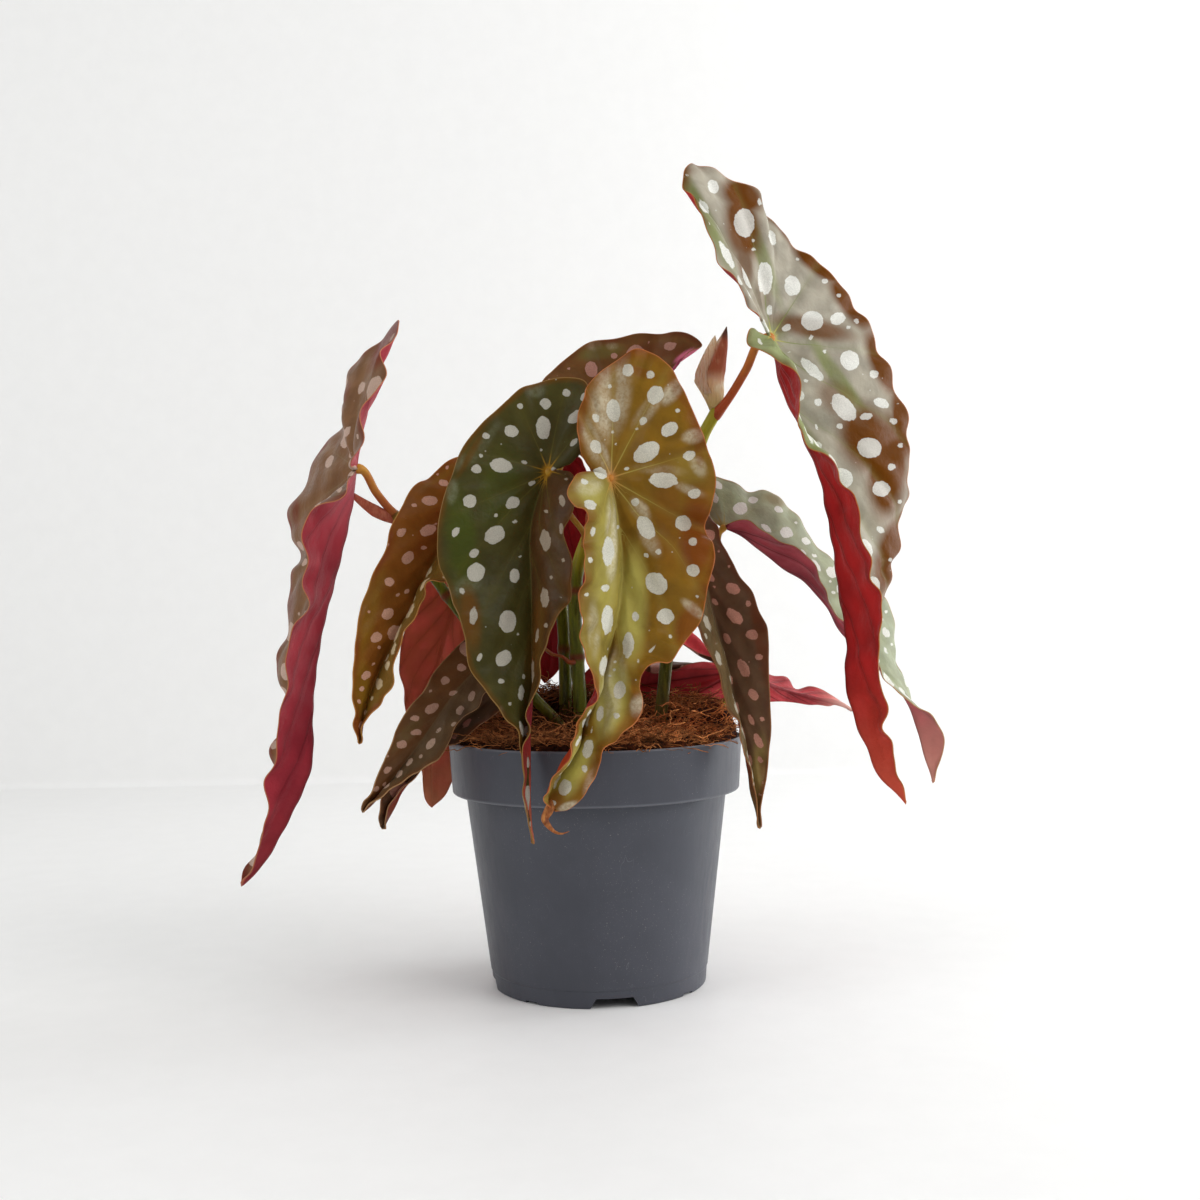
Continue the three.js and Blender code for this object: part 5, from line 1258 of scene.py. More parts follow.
def stem_material():
    """Olive canes with red-brown rings at the joints, and orange stalks."""
    s = Surface("begonia_stem")
    stalk, ring, up, tone = s.value("stalk"), s.value("ring"), s.value("up"), s.value("tone")
    streak = s.noise(700, 3, 0.6, stretch=(1, 1, 0.12))
    blotch = s.noise(120, 3, 0.5)
    green = s.mix(s.ease(streak, 0.3, 0.7), linear(62, 68, 8), linear(108, 118, 24))
    brown = s.mix(s.ease(streak, 0.3, 0.7), linear(70, 40, 20), linear(112, 72, 38))
    green = s.mix(s.ease(up, 0.1, 0.34, 0.8, 0.0), green, brown)
    green = s.mix(s.ease(up, 0.78, 0.92, 0.0, 0.85), green, linear(182, 180, 50))
    orange = s.mix(s.ease(up, 0.2, 0.95), linear(186, 84, 40), linear(214, 146, 60))
    orange = s.mix(s.ease(tone, 0.0, 1.0), orange, linear(164, 172, 56))
    orange = s.mix(s.ease(blotch, 0.35, 0.7, 0.0, 0.5), orange, linear(176, 84, 50))
    color = s.mix(stalk, green, orange)
    color = s.mix(s.times(ring, s.ease(blotch, 0.2, 0.6, 0.7, 1.0)), color,
        linear(112, 52, 28))
    color = s.mix(s.ease(s.noise(1500, 2), 0.6, 0.7, 0.0, 0.2), color, linear(170, 160, 90))
    bumped = s.bump(streak, 0.3, 0.0006)
    shader = s.shader(color, s.ease(streak, 0.3, 0.7, 0.26, 0.42), bumped,
        Specular_IOR_Level=0.2)
    return s.done(s.lit_through(shader, linear(200, 190, 60), bumped, 0.12))


def papery_material():
    """Papery bud sheath: ridged cream fold, pink-brown wrap, dark tip, green base."""
    s = Surface("begonia_papery")
    across, up = s.value("across"), s.value("up")
    ridge = s.noise(1300, 3, 0.6, stretch=(1, 1, 0.045))
    blotch = s.noise(210, 3, 0.6)
    # The near-white tones are the sheath's own pale cream with painted light, as the top right leaf
    # shades it.
    wrap = s.mix(s.ease(blotch, 0.3, 0.7), linear(250, 224, 180), linear(255, 250, 226))
    pale = s.mix(s.ease(ridge, 0.3, 0.7), linear(255, 250, 230), linear(236, 214, 170))
    color = s.mix(s.ease(across, -0.45, 0.25, 1.0, 0.0), wrap, pale)
    worn = s.times(s.ease(across, -0.85, -0.1), s.math("MULTIPLY",
        s.ease(up, 0.25, 0.5), s.ease(blotch, 0.25, 0.5, 0.75, 1.0)))
    color = s.mix(worn, color, linear(172, 76, 38))
    color = s.mix(s.ease(ridge, 0.52, 0.7, 0.0, 0.55), color, linear(176, 116, 74))
    color = s.mix(s.ease(up, 0.0, 0.34, 0.75, 0.0), color, linear(180, 166, 74))
    color = s.mix(s.times(s.ease(up, 0.8, 0.92, 0.0, 0.95), s.ease(across, -0.9, -0.7)),
        color, linear(84, 30, 22))
    bumped = s.bump(ridge, 0.8, 0.0012)
    shader = s.shader(color, s.ease(ridge, 0.3, 0.7, 0.5, 0.68), bumped, Specular_IOR_Level=0.2)
    return s.done(s.lit_through(shader, s.mix(0.3, color, linear(255, 244, 224)), bumped, 0.48))


def dry_material():
    """Dry curled leaf tip and the stipules: orange-brown with dark brown blotches."""
    s = Surface("begonia_dry")
    pink, up = s.value("pink"), s.value("up")
    streak = s.noise(800, 4, 0.6, stretch=(1, 1, 0.4))
    color = s.mix(s.ease(streak, 0.3, 0.72), linear(128, 64, 20), linear(206, 136, 72))
    # Dark brown blotches: the dry tissue's own colour and painted shade of the curled fold.
    color = s.mix(s.ease(s.noise(300, 2), 0.5, 0.7, 0.0, 0.7), color, linear(82, 36, 12))
    fleshy = s.mix(s.ease(streak, 0.3, 0.72), linear(178, 92, 66), linear(212, 140, 104))
    fleshy = s.mix(s.ease(up, 0.55, 1.0, 0.0, 0.8), fleshy, linear(176, 80, 76))
    color = s.mix(pink, color, fleshy)
    bumped = s.bump(streak, 0.4, 0.0008)
    shader = s.shader(color, 0.5, bumped, Specular_IOR_Level=0.35)
    return s.done(s.lit_through(shader, linear(226, 120, 70), bumped, 0.2))


def pot_material(settings):
    """Moulded matte plastic with faint scuffs, scratches and dust, and a painted highlight at the
    lip.
    """
    s = Surface("pot_matte_plastic")
    base = tuple(settings.plastic)
    cloud = s.noise(26, 4, 0.6)
    scuff = s.noise(420, 4, 0.7, stretch=(1, 1, 0.18))
    light = tuple(min(1.0, v * 1.22) for v in base)
    color = s.mix(s.ease(cloud, 0.35, 0.7), base, light)
    dust = s.times(s.ease(s.noise(1900, 2, 0.6), 0.66, 0.74), s.ease(cloud, 0.4, 0.6))
    color = s.mix(s.times(dust, 0.35), color, linear(176, 170, 162))
    scratch = s.ease(s.math("ABSOLUTE", s.math("SUBTRACT", s.noise(130, 1, 0.4,
        stretch=(1, 1, 0.35), distortion=1.6), 0.5)), 0.0, 0.0035, 1.0, 0.0)
    marks = s.times(scratch, s.ease(s.noise(60, 2), 0.56, 0.66))
    color = s.mix(s.times(marks, 0.28), color, linear(160, 162, 168))
    # Painted highlight, with some dust, along the lip and the band's lower edge.
    color = s.mix(s.value("lip"), color, linear(128, 130, 136))
    rough = s.ease(scuff, 0.3, 0.75, 0.38, 0.5)
    bumped = s.bump(s.noise(3200, 2, 0.6), 0.10, 0.0003, s.bump(scuff, 0.06, 0.0006))
    return s.done(s.shader(color, rough, bumped, Specular_IOR_Level=0.5,
        Specular_Tint=(0.86, 0.9, 1.0, 1.0)))


# Painted shade darkens the coir round the foot of the middle canes, and painted light brightens
# it at the right front.
PAINTED_SHADE_AT = (-0.009, 0.002, 0.0)
SUNNY = (0.042, -0.022, 0.0)


def coir_material(name, dark, light, tint=None):
    """Coir: dark to orange-brown, with painted shade by the middle canes and painted light at the
    right.
    """
    s = Surface(name)
    grain = s.noise(650, 4, 0.65)
    share = s.ease(grain, 0.3, 0.72)
    if tint is not None:
        share = s.plus(s.times(s.value(tint), 0.75), s.times(share, 0.25))
    # Painted shade round the foot of the middle canes.
    painted_shade = s.ease(s.away(PAINTED_SHADE_AT), 0.008, 0.026, 0.28, 1.0)
    # Random clumps, and painted light that brightens the coir at the right front.
    clumps_and_painted_sun = s.times(s.ease(s.noise(120, 2, 0.5), 0.36, 0.62, 0.4, 1.1),
        s.ease(s.away(SUNNY), 0.014, 0.044, 2.0, 1.05))
    color = s.shaded(s.mix(share, dark, light), s.times(painted_shade, clumps_and_painted_sun))
    return s.done(s.shader(color, s.ease(grain, 0.3, 0.7, 0.8, 0.95),
        s.bump(grain, 0.8, 0.0015), Specular_IOR_Level=0.06))


def paper_material(paper):
    """Pale paper of floor and backdrop, with a fine grain."""
    s = Surface("stage_paper")
    grain = s.noise(60, 3, 0.6)
    color = s.mix(s.ease(grain, 0.3, 0.7), paper, tuple(0.985 * v for v in paper))
    return s.done(s.shader(color, 0.55, s.bump(grain, 0.15, 0.0006)))


# ---- sizes and colours a user may change ----
def length(name, description, default, low, high):
    return FloatProperty(name=name, description=description, default=default, min=low, max=high,
        precision=5, subtype="DISTANCE", unit="LENGTH")


def colour(name, description, default):
    return FloatVectorProperty(name=name, description=description, default=default, size=3,
        min=0.0, max=1.0, subtype="COLOR")


class BegoniaLeafSettings(PropertyGroup):
    """Sizes shared by all leaves."""

    thickness: length("Blade Thickness", "Thickness of a leaf between its veins", 0.00055,
        0.0002, 0.002)
    quilt: length("Quilting", "How far the panels between the veins stand up", 0.0010, 0.0, 0.003)
    wave: length("Margin Wave", "How far the margin ripples out of the blade", 0.0008, 0.0, 0.004)
    seed: IntProperty(name="Seed", description="Seed of spots by rule and of ripples",
        default=11, min=0)


class BegoniaStemSettings(PropertyGroup):
    """Sizes of canes and leaf stalks."""

    sides: IntProperty(name="Sides", description="Sides of a stem's section", default=20,
        min=8, max=64)
    swelling: FloatProperty(name="Joint Swelling", description="Share a cane swells at a joint",
        default=0.2, min=0.0, max=1.0, subtype="FACTOR")
    step: length("Step", "Distance between rings along a stem", 0.0012, 0.0004, 0.01)


class BegoniaPotSettings(PropertyGroup):
    """Sizes and colour of the pot."""

    height: length("Height", "Height of the pot", 0.100, 0.05, 0.3)
    rim_radius: length("Rim Radius", "Outer radius at the lip", 0.060, 0.03, 0.2)
    band: length("Rim Band", "Height of the band under the lip", 0.0215, 0.005, 0.06)
    body_radius: length("Body Radius", "Outer radius under the band", 0.0534, 0.02, 0.2)
    base_radius: length("Base Radius", "Outer radius at the floor", 0.0436, 0.02, 0.2)
    wall: length("Wall", "Thickness of the wall", 0.0016, 0.0008, 0.005)
    segments: IntProperty(name="Segments", description="Segments round the pot", default=180,
        min=24, max=512)
    plastic: colour("Plastic", "Colour of the moulded plastic", linear(60, 61, 68))


class BegoniaCoirSettings(PropertyGroup):
    """Fibres of the coir plug."""

    density: FloatProperty(name="Fibre Density", description="Fibres per square metre of the top",
        default=260000.0, min=0.0, max=2000000.0)
    fibre_length: length("Fibre Length", "Length of a fibre before it curls", 0.017, 0.002, 0.06)
    fibre_radius: length("Fibre Radius", "Half thickness of a fibre", 0.00022, 0.00005, 0.002)
    curl: length("Curl", "How far fibres wander from a straight line", 0.011, 0.0, 0.05)
    seed: IntProperty(name="Seed", description="Seed of the fibres", default=5, min=0)


class BegoniaStageSettings(PropertyGroup):
    """Floor, backdrop and lights."""

    reach: length("Floor Reach", "Half width of the floor", 2.4, 0.5, 10.0)
    wall_at: length("Backdrop Distance", "Distance from the pot to the backdrop", 0.65, 0.3, 5.0)
    paper: colour("Paper", "Colour of floor and backdrop", linear(243, 243, 242))
    key_power: FloatProperty(name="Key Power", description="Power of the key light",
        default=10.0, min=0.0, unit="POWER")
    fill: FloatProperty(name="Room Light", description="Strength of the light all round",
        default=0.35, min=0.0)


class BegoniaSettings(PropertyGroup):
    """All settings of the plant."""

    leaf: PointerProperty(type=BegoniaLeafSettings)
    stem: PointerProperty(type=BegoniaStemSettings)
    pot: PointerProperty(type=BegoniaPotSettings)
    coir: PointerProperty(type=BegoniaCoirSettings)
    stage: PointerProperty(type=BegoniaStageSettings)


# ---- what pieces share ----
SHEETS = {}


def leaf_look(name):
    """How a leaf is finished: its own values over the common ones, and its tones by name."""
    look = {**COMMON_LOOK, **LEAF_LOOKS[name]}
    look.update((key, linear(*tone)) for key, tone in zip(TONES, look["tones"]))
    return look


def leaf_sheets(settings):
    """All leaves' surfaces, made once: stalks end on them."""
    if SHEETS:
        return SHEETS
    viewed_from = Vector(VIEW_FROM) * MM
    points, polygons = [], []
    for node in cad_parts.values():
        base = len(points)
        points += [vertex.co for vertex in node.data.vertices]
        polygons += [[base + i for i in polygon.vertices] for polygon in node.data.polygons]
    blockers = BVHTree.FromPolygons(points, polygons)

    def hidden(point, normal):
        target = Vector(point) * MM
        sight = target - viewed_from
        if sight.dot(Vector(normal)) > 0:
            return True
        hit = blockers.ray_cast(viewed_from, sight.normalized())
        return hit[0] is not None and hit[3] < sight.length - 0.004

    for index, (name, leaf) in enumerate(LEAVES.items()):
        rng = np.random.default_rng((settings.seed, index))
        look = leaf_look(name)
        sheet = Sheet(leaf, look["grid"])
        sheet.relief(settings.quilt / MM * look["quilt"], settings.wave / MM * look["wave"],
            look["ripple"], rng)
        sheet.paint(SPOTS.get(name, []), PATCHES.get(name, {}), hidden, rng)
        SHEETS[name] = sheet
    return SHEETS


class BEGONIA_OT_leaves(Operator):
    """Make the thirteen leaves with their veins, silver spots and crimson undersides"""

    bl_idname = "begonia.leaves"
    bl_label = "Leaves"

    def execute(self, context):
        settings = context.scene.begonia.leaf
        for name, sheet in leaf_sheets(settings).items():
            look, short = leaf_look(name), name.replace("leaf_", "")
            points, faces, slots, carried = sheet.solid(settings.thickness / MM)
            blade = mesh_object(f"blade_{short}", points, faces, carried,
                upper_material(f"upper_{short}", look), under_material(f"under_{short}", look),
                slots=slots)
            settle(blade, look["slot"], name)
        return {"FINISHED"}


def stem_parts(stem, settings):
    """Tubes of one cane with its stalks and twigs: points, faces and per-point values."""
    step = settings.step / MM
    sheets = leaf_sheets(bpy.context.scene.begonia.leaf)
    joints = np.array(stem["joints"], float).reshape(-1, 3)

    def tube(route, radius_at, stalk, tone=0.0):
        curve = Spline(route)
        count = max(6, round(curve.length(0, curve.knots[-1]) / step))
        line = curve.at(curve.even(0, curve.knots[-1], count))
        share = np.linspace(0, 1, count + 1)
        radii, rings = radius_at(line, share)
        sides = settings.sides if stalk < 1 else max(12, settings.sides - 4)
        points, faces, along = sweep(line, radii, sides)
        up = along / along.max()
        ring = np.interp(up, share, rings)
        return points, faces, {"up": up, "ring": ring, "stalk": np.full(len(points), stalk),
            "tone": np.full(len(points), tone)}

    def cane_radius(line, share):
        radii = stem["radius"] * (1.04 - 0.08 * share)
        rings = np.zeros(len(line))
        for joint in joints:
            away = np.linalg.norm(line - joint, axis=1)
            radii = radii + stem["radius"] * settings.swelling * np.exp(-((away / 1.8) ** 2))
            rings = np.maximum(rings, np.exp(-((away / 1.5) ** 4)))
        return radii, rings

    def stalk_radius(radius, share):
        flare = 0.35 * np.exp(-((share / 0.12) ** 2)) + 0.3 * np.exp(-(((1 - share) / 0.07) ** 2))
        return radius * (0.95 + flare), 0.4 * np.exp(-((share / 0.08) ** 2))

    x, y, _ = stem["cane"][0]
    made = [tube([(x, y, CANE_FOOT), *stem["cane"]], cane_radius, 0.0)]
    for leaf, route in stem["petioles"]:
        radius = STALK_RADIUS.get(leaf, PETIOLE_RADIUS)
        end, under = sheets[leaf].stalk_seat(radius - STALK_BITE)
        approach = STALK_APPROACH.get(leaf, 3.6)
        line = [*route, tuple(end + under * approach), tuple(end)]
        made.append(tube(line, lambda line, share, r=radius: stalk_radius(r, share), 1.0,
            STALK_TONE.get(leaf, 0.0)))
    for radius, route in stem["twigs"]:
        made.append(tube(route, lambda line, share, r=radius:
            (r * (1.05 - 0.5 * share + 0.12 * np.sin(9 * share)), 0.8 + 0 * share), 1.0))
    return joined(made)


class BEGONIA_OT_stems(Operator):
    """Make the canes with their joints, and the stalks that carry the leaves"""

    bl_idname = "begonia.stems"
    bl_label = "Canes and Stalks"

    def execute(self, context):
        material = stem_material()
        for name, stem in STEMS.items():
            points, faces, carried = stem_parts(stem, context.scene.begonia.stem)
            piece = mesh_object(f"stem_{name}", points, faces, carried, material)
            settle(piece, "stem_green", name)
        return {"FINISHED"}


# The sheath's large and small scale from foot to tip: centre, half width and half depth in mm.
SHEATH = [
    ((52.3, 1, 233.6), 2.6, 2.2), ((52.0, 1, 236), 3.3, 2.6), ((51.0, 1.5, 241), 4.8, 3.0),
    ((49.8, 2, 246), 6.2, 3.1), ((51.2, 2, 250), 5.5, 2.9), ((52.9, 2, 254.5), 4.3, 2.4),
    ((55.0, 2, 260), 2.9, 1.8), ((56.6, 2, 264.5), 1.4, 1.0), ((57.6, 2, 268), 0.2, 0.2),
]
FOLD = [
    ((49.6, -0.8, 240), 1.8, 1.1), ((47.0, -0.6, 244), 2.6, 1.4), ((46.6, -0.2, 248), 2.7, 1.4),
    ((48.4, 0.2, 253), 2.6, 1.3), ((50.6, 0.5, 258.5), 2.0, 1.1), ((52.0, 0.7, 262), 1.2, 0.7),
    ((52.6, 0.8, 264.2), 0.2, 0.15),
]


def scale_shell(stations, sides, rings, folds, lean):
    """A closed papery scale through its stations, with folds along it."""
    centres = Spline([at for at, _, _ in stations])
    share = centres.knots / centres.knots[-1]
    up = np.linspace(0, 1, rings)
    line = centres.at(up * centres.knots[-1])
    width, depth = (np.interp(up, share, [row[k] for row in stations])[:, None] for k in (1, 2))
    angles = np.linspace(0, 2 * math.pi, sides, endpoint=False)
    fold = 1 + folds * (np.cos(5 * angles + 0.6) * 0.6 + np.cos(9 * angles + 2.1) * 0.4)
    turn = angles + lean * up[:, None]
    points = np.stack([line[:, 0, None] + width * np.cos(turn) * fold,
        line[:, 1, None] + depth * np.sin(turn) * fold, line[:, 2, None] + 0 * turn], 2)
    points = np.concatenate([points.reshape(-1, 3), line[:1], line[-1:]])
    carried = {"across": np.append(np.cos(turn), [0, 0]),
        "up": np.append(np.repeat(up, sides), [0, 1])}
    return points, np.array(shell_faces(rings, sides)), carried


class BEGONIA_OT_sheath(Operator):
    """Make the papery bud sheath round the newest shoot"""

    bl_idname = "begonia.sheath"
    bl_label = "Bud Sheath"

    def execute(self, context):
        wrap = scale_shell(SHEATH, 40, 70, 0.05, 0.5)
        fold = scale_shell(FOLD, 28, 60, 0.07, 0.3)
        # The small scale is the papery fold all over, and is neither as green nor as dark.
        fold[2]["across"][:] = -1.0
        fold[2]["up"] = 0.25 + 0.6 * fold[2]["up"]
        piece = mesh_object("bud_sheath", *joined([wrap, fold]), papery_material())
        settle(piece, "sheath_papery", "shoot_sheath")
        return {"FINISHED"}


# Dry bits and stipules in mm: how flat, whether pink, the route and the half widths along it.
DRY_STEPS, DRY_SIDES = 70, 22
DRY_BITS = {
    "dry_leaf_tip": (0.5, 0.0, [(-15.6, -71.5, 82.6), (-17.1, -72, 80.0), (-18.3, -72.6, 77.5),
        (-16.9, -73.4, 75.0), (-14.7, -74, 73.0), (-12.5, -74.6, 72.4), (-9.6, -75, 73.2)],
        [1.8, 1.7, 1.35, 1.0, 0.6, 0.35, 0.1]),
    "dry_stipule": (0.5, 0.0, [(44.8, -2.5, 196.5), (45.8, -4.5, 200), (47.6, -6, 206)],
        [1.1, 0.9, 0.1]),
    "pink_stipule": (0.45, 1.0, [(-78.5, -6.2, 189.6), (-82, -6.4, 191.2), (-87, -6.8, 193.6),
        (-92, -7.4, 197.0), (-96, -7.8, 200.2), (-99.5, -8.2, 203.6)],
        [1.6, 2.3, 2.5, 1.9, 1.2, 0.15]),
}


class BEGONIA_OT_dry_bits(Operator):
    """Make the curled dry leaf tip and the stipules"""

    bl_idname = "begonia.dry_bits"
    bl_label = "Dry Tip and Stipules"

    def execute(self, context):
        material = dry_material()
        for name, (flat, pink, route, widths) in DRY_BITS.items():
            curve = Spline(route)
            line = curve.at(curve.even(0, curve.knots[-1], DRY_STEPS))
            share = np.linspace(0, 1, DRY_STEPS + 1)
            thick = np.interp(share, np.linspace(0, 1, len(widths)), widths)
            points, faces, along = sweep(line, thick, DRY_SIDES, flat=flat)
            carried = {"up": along / along.max(), "pink": np.full(len(points), pink)}
            settle(mesh_object(name, points, faces, carried, material), "sheath_papery")
        return {"FINISHED"}


# ---- pot ----
def rounded_profile(corners):
    """Corners of (radius, height, fillet) as points, with each corner rounded."""
    out = []
    for k, (x, z, fillet) in enumerate(corners):
        here = np.array([x, z], float)
        if fillet == 0 or k in (0, len(corners) - 1):
            out.append(here)
            continue
        back = unit(np.array(corners[k - 1][:2], float) - here)
        on = unit(np.array(corners[k + 1][:2], float) - here)
        start, end = here + back * fillet, here + on * fillet
        out.append(start + back * min(0.4, fillet))
        for t in np.linspace(0, 1, 6):
            out.append((1 - t) ** 2 * start + 2 * t * (1 - t) * here + t * t * end)
        out.append(end + on * min(0.4, fillet))
    return np.array(out)


def pot_sizes(pot):
    """The pot's height, rim radius, band's lower edge, body and base radius and wall in mm."""
    height, rim, band, body, base, wall = (getattr(pot, key) / MM for key in (
        "height", "rim_radius", "band", "body_radius", "base_radius", "wall"))
    return height, rim, height - band, body, base, wall


# Foot ring's wall and height, the ridge's height, and the notches in the foot ring: turn in
# degrees, width at the top and at the bottom, and height. Each is repeated every 90 degrees.
FOOT_WALL, FOOT_HEIGHT, RIDGE = 4.4, 5.0, 7.0
NOTCHES = ((7.8, 14.3, 19.0, 4.0), (52.8, 6.0, 6.4, 1.0))
NOTCH_IN, NOTCH_DEPTH = 1.5, 12.0


def notch_cutter(turn, top, bottom, height, radius):
    """A wedge through the foot ring."""
    shape = [(-bottom / 2, -2), (bottom / 2, -2), (bottom / 2, 0), (top / 2, height),
        (-top / 2, height), (-bottom / 2, 0)]
    cos, sin = math.cos(math.radians(turn)), math.sin(math.radians(turn))
    points = [(x * cos - y * sin, x * sin + y * cos, z)
        for y in (-radius - NOTCH_DEPTH / 2, -radius + NOTCH_DEPTH / 2) for x, z in shape]
    count = len(shape)
    faces = [tuple(range(count)), tuple(range(2 * count - 1, count - 1, -1))]
    faces += [(i, i + count, (i + 1) % count + count, (i + 1) % count) for i in range(count)]
    return linked("notch", plain_mesh("notch", points, faces))


class BEGONIA_OT_pot(Operator):
    """Make the nursery pot with its rounded lip, band, ridge and notched foot"""

    bl_idname = "begonia.pot"
    bl_label = "Pot"

    def execute(self, context):
        pot = context.scene.begonia.pot
        height, rim, below, body, base, wall = pot_sizes(pot)

        def outer(z):
            return base + (body - base) * z / below

        profile = rounded_profile([
            (0.0, FOOT_HEIGHT, 0), (base - FOOT_WALL, FOOT_HEIGHT, 0.6),
            (base - FOOT_WALL, 0, 0.5), (base, 0, 0.8), (outer(RIDGE) - 0.35, RIDGE - 0.4, 0.15),
            (outer(RIDGE), RIDGE + 0.1, 0.15), (outer(below), below, 0.3),
            (rim - 1.3, below + 0.2, 0.9), (rim, height, 0.75),
            (rim - wall, height, 0.5), (rim - 1.2 - wall, below + wall, 0.5),
            (outer(below) - wall, below - wall, 0.5), (outer(RIDGE) - wall, RIDGE, 1.0),
            (0.0, RIDGE, 0),
        ])[1:-1, :, None]
        angles = np.linspace(0, 2 * math.pi, pot.segments, endpoint=False)
        points = np.stack([profile[:, 0] * np.cos(angles), profile[:, 0] * np.sin(angles),
            profile[:, 1] + 0 * angles], 2).reshape(-1, 3)
        points = np.concatenate([points, [(0, 0, FOOT_HEIGHT), (0, 0, RIDGE)]])
        faces = shell_faces(len(profile), pot.segments, quads=True)
        blank = linked("pot_blank", plain_mesh("pot_blank", points, faces))
        cutters = [notch_cutter(turn + 90 * k, top, bottom, rise, base - NOTCH_IN)
            for turn, top, bottom, rise in NOTCHES for k in range(4)]
        for cutter in cutters:
            cut = blank.modifiers.new("notch", "BOOLEAN")
            cut.operation, cut.object, cut.solver = "DIFFERENCE", cutter, "EXACT"
        mesh = as_modified(blank, "nursery_pot")
        for extra in [blank, *cutters]:
            bpy.data.objects.remove(extra)
        # The edges of the lip and of the band take a lighter tone: painted highlight, with the dust
        # that these edges catch.
        places = np.zeros(len(mesh.vertices) * 3, np.float32)
        mesh.vertices.foreach_get("co", places)
        x, y, z = places.reshape(-1, 3).T / MM
        lip = np.exp(-(((z - height) / 0.5) ** 2)) * (np.hypot(x, y) > rim - 1.2)
        lip = np.maximum(lip, 0.8 * np.exp(-(((z - below - 0.6) / 0.45) ** 2))
            * (np.hypot(x, y) > rim - 2.4))
        dress(mesh, {"lip": lip * 0.5}, pot_material(pot))
        mesh.set_sharp_from_angle(angle=math.radians(40))
        settle(linked("nursery_pot", mesh), "pot_plastic", "pot")
        return {"FINISHED"}


# ---- coir ----
# The plug's level in mm, and its mounds: centre x and y, rise and spread.
COIR_LEVEL = 101.5
MOUNDS = ((36.0, 31.0, 10.5, 19.0), (-17.0, 27.0, 15.5, 17.0), (50.0, 8.0, 6.0, 9.0))


def coir_top(x, y):
    """Height of the coir plug, as the part's source has it."""
    mound = sum(rise * np.exp(-((x - at_x) ** 2 + (y - at_y) ** 2) / (2 * spread**2))
        for at_x, at_y, rise, spread in MOUNDS)
    lumps = 0.8 * np.sin(x * 0.31 + 1) * np.cos(y * 0.27) + 0.5 * np.sin(x * 0.7 + y * 0.5)
    return COIR_LEVEL + mound + lumps


def coir_plug(pot):
    """Points and faces of the plug: a rough top, then down the inside of the pot."""
    height, rim, below, body, base, wall = pot_sizes(pot)
    gap, sectors, rings_of_top = 0.3, 220, 74
    foot = base + (body - base) * RIDGE / below
    side = [(rim - wall - gap, height - 1.4), (rim - 1.2 - wall - gap, below + wall),
        (body - wall - gap, below - wall), (foot - wall - gap, RIDGE + gap)]
    angles = np.linspace(0, 2 * math.pi, sectors, endpoint=False)
    rings = []
    radii = np.linspace(0, side[0][0], rings_of_top + 1)[1:]
    for radius in radii:
        x, y = radius * np.cos(angles), radius * np.sin(angles)
        rough = 0.7 * np.sin(1.9 * x + 0.7 * y) * np.sin(1.3 * y - 0.5 * x)
        rough += 0.4 * np.sin(3.7 * x + 1.1) * np.cos(3.1 * y)
        sunk = 0.4 + 2.2 * ease(radius, radii[-1] - 2.5, radii[-1])
        rings.append(np.stack([x, y, coir_top(x, y) + rough - sunk], 1))
    for radius, z in side[1:]:
        rings.append(np.stack([radius * np.cos(angles), radius * np.sin(angles),
            np.full(sectors, z)], 1))
    ends = [(0, 0, float(coir_top(0, 0)) - 1.2), (0, 0, side[-1][1])]
    # The rings run from the top down, so the faces are turned round.
    return np.concatenate([*rings, ends]), np.array(shell_faces(len(rings), sectors))[:, ::-1]


# Layers of fibres: how far inside the rim they end and how high they lie, in mm, and the shares
# of the user's density, length and radius.
FIBRES = {
    "fibres_deep": (4.5, -1.0, 0.65, 0.75, 0.55),
    "fibres_fine": (4.5, -0.2, 0.65, 0.8, 0.5),
    "fibres_long": (5.5, 0.0, 0.3, 1.15, 0.8),
    "fibres_curly": (17.5, 0.4, 0.06, 1.6, 0.9),
}
FIBRE_POINTS, FIBRE_SIDES = 13, 4
FIBRE_LIFT = 0.0004
# Cell in mm of the ground that they grow on.
GROUND_CELL = 1.5


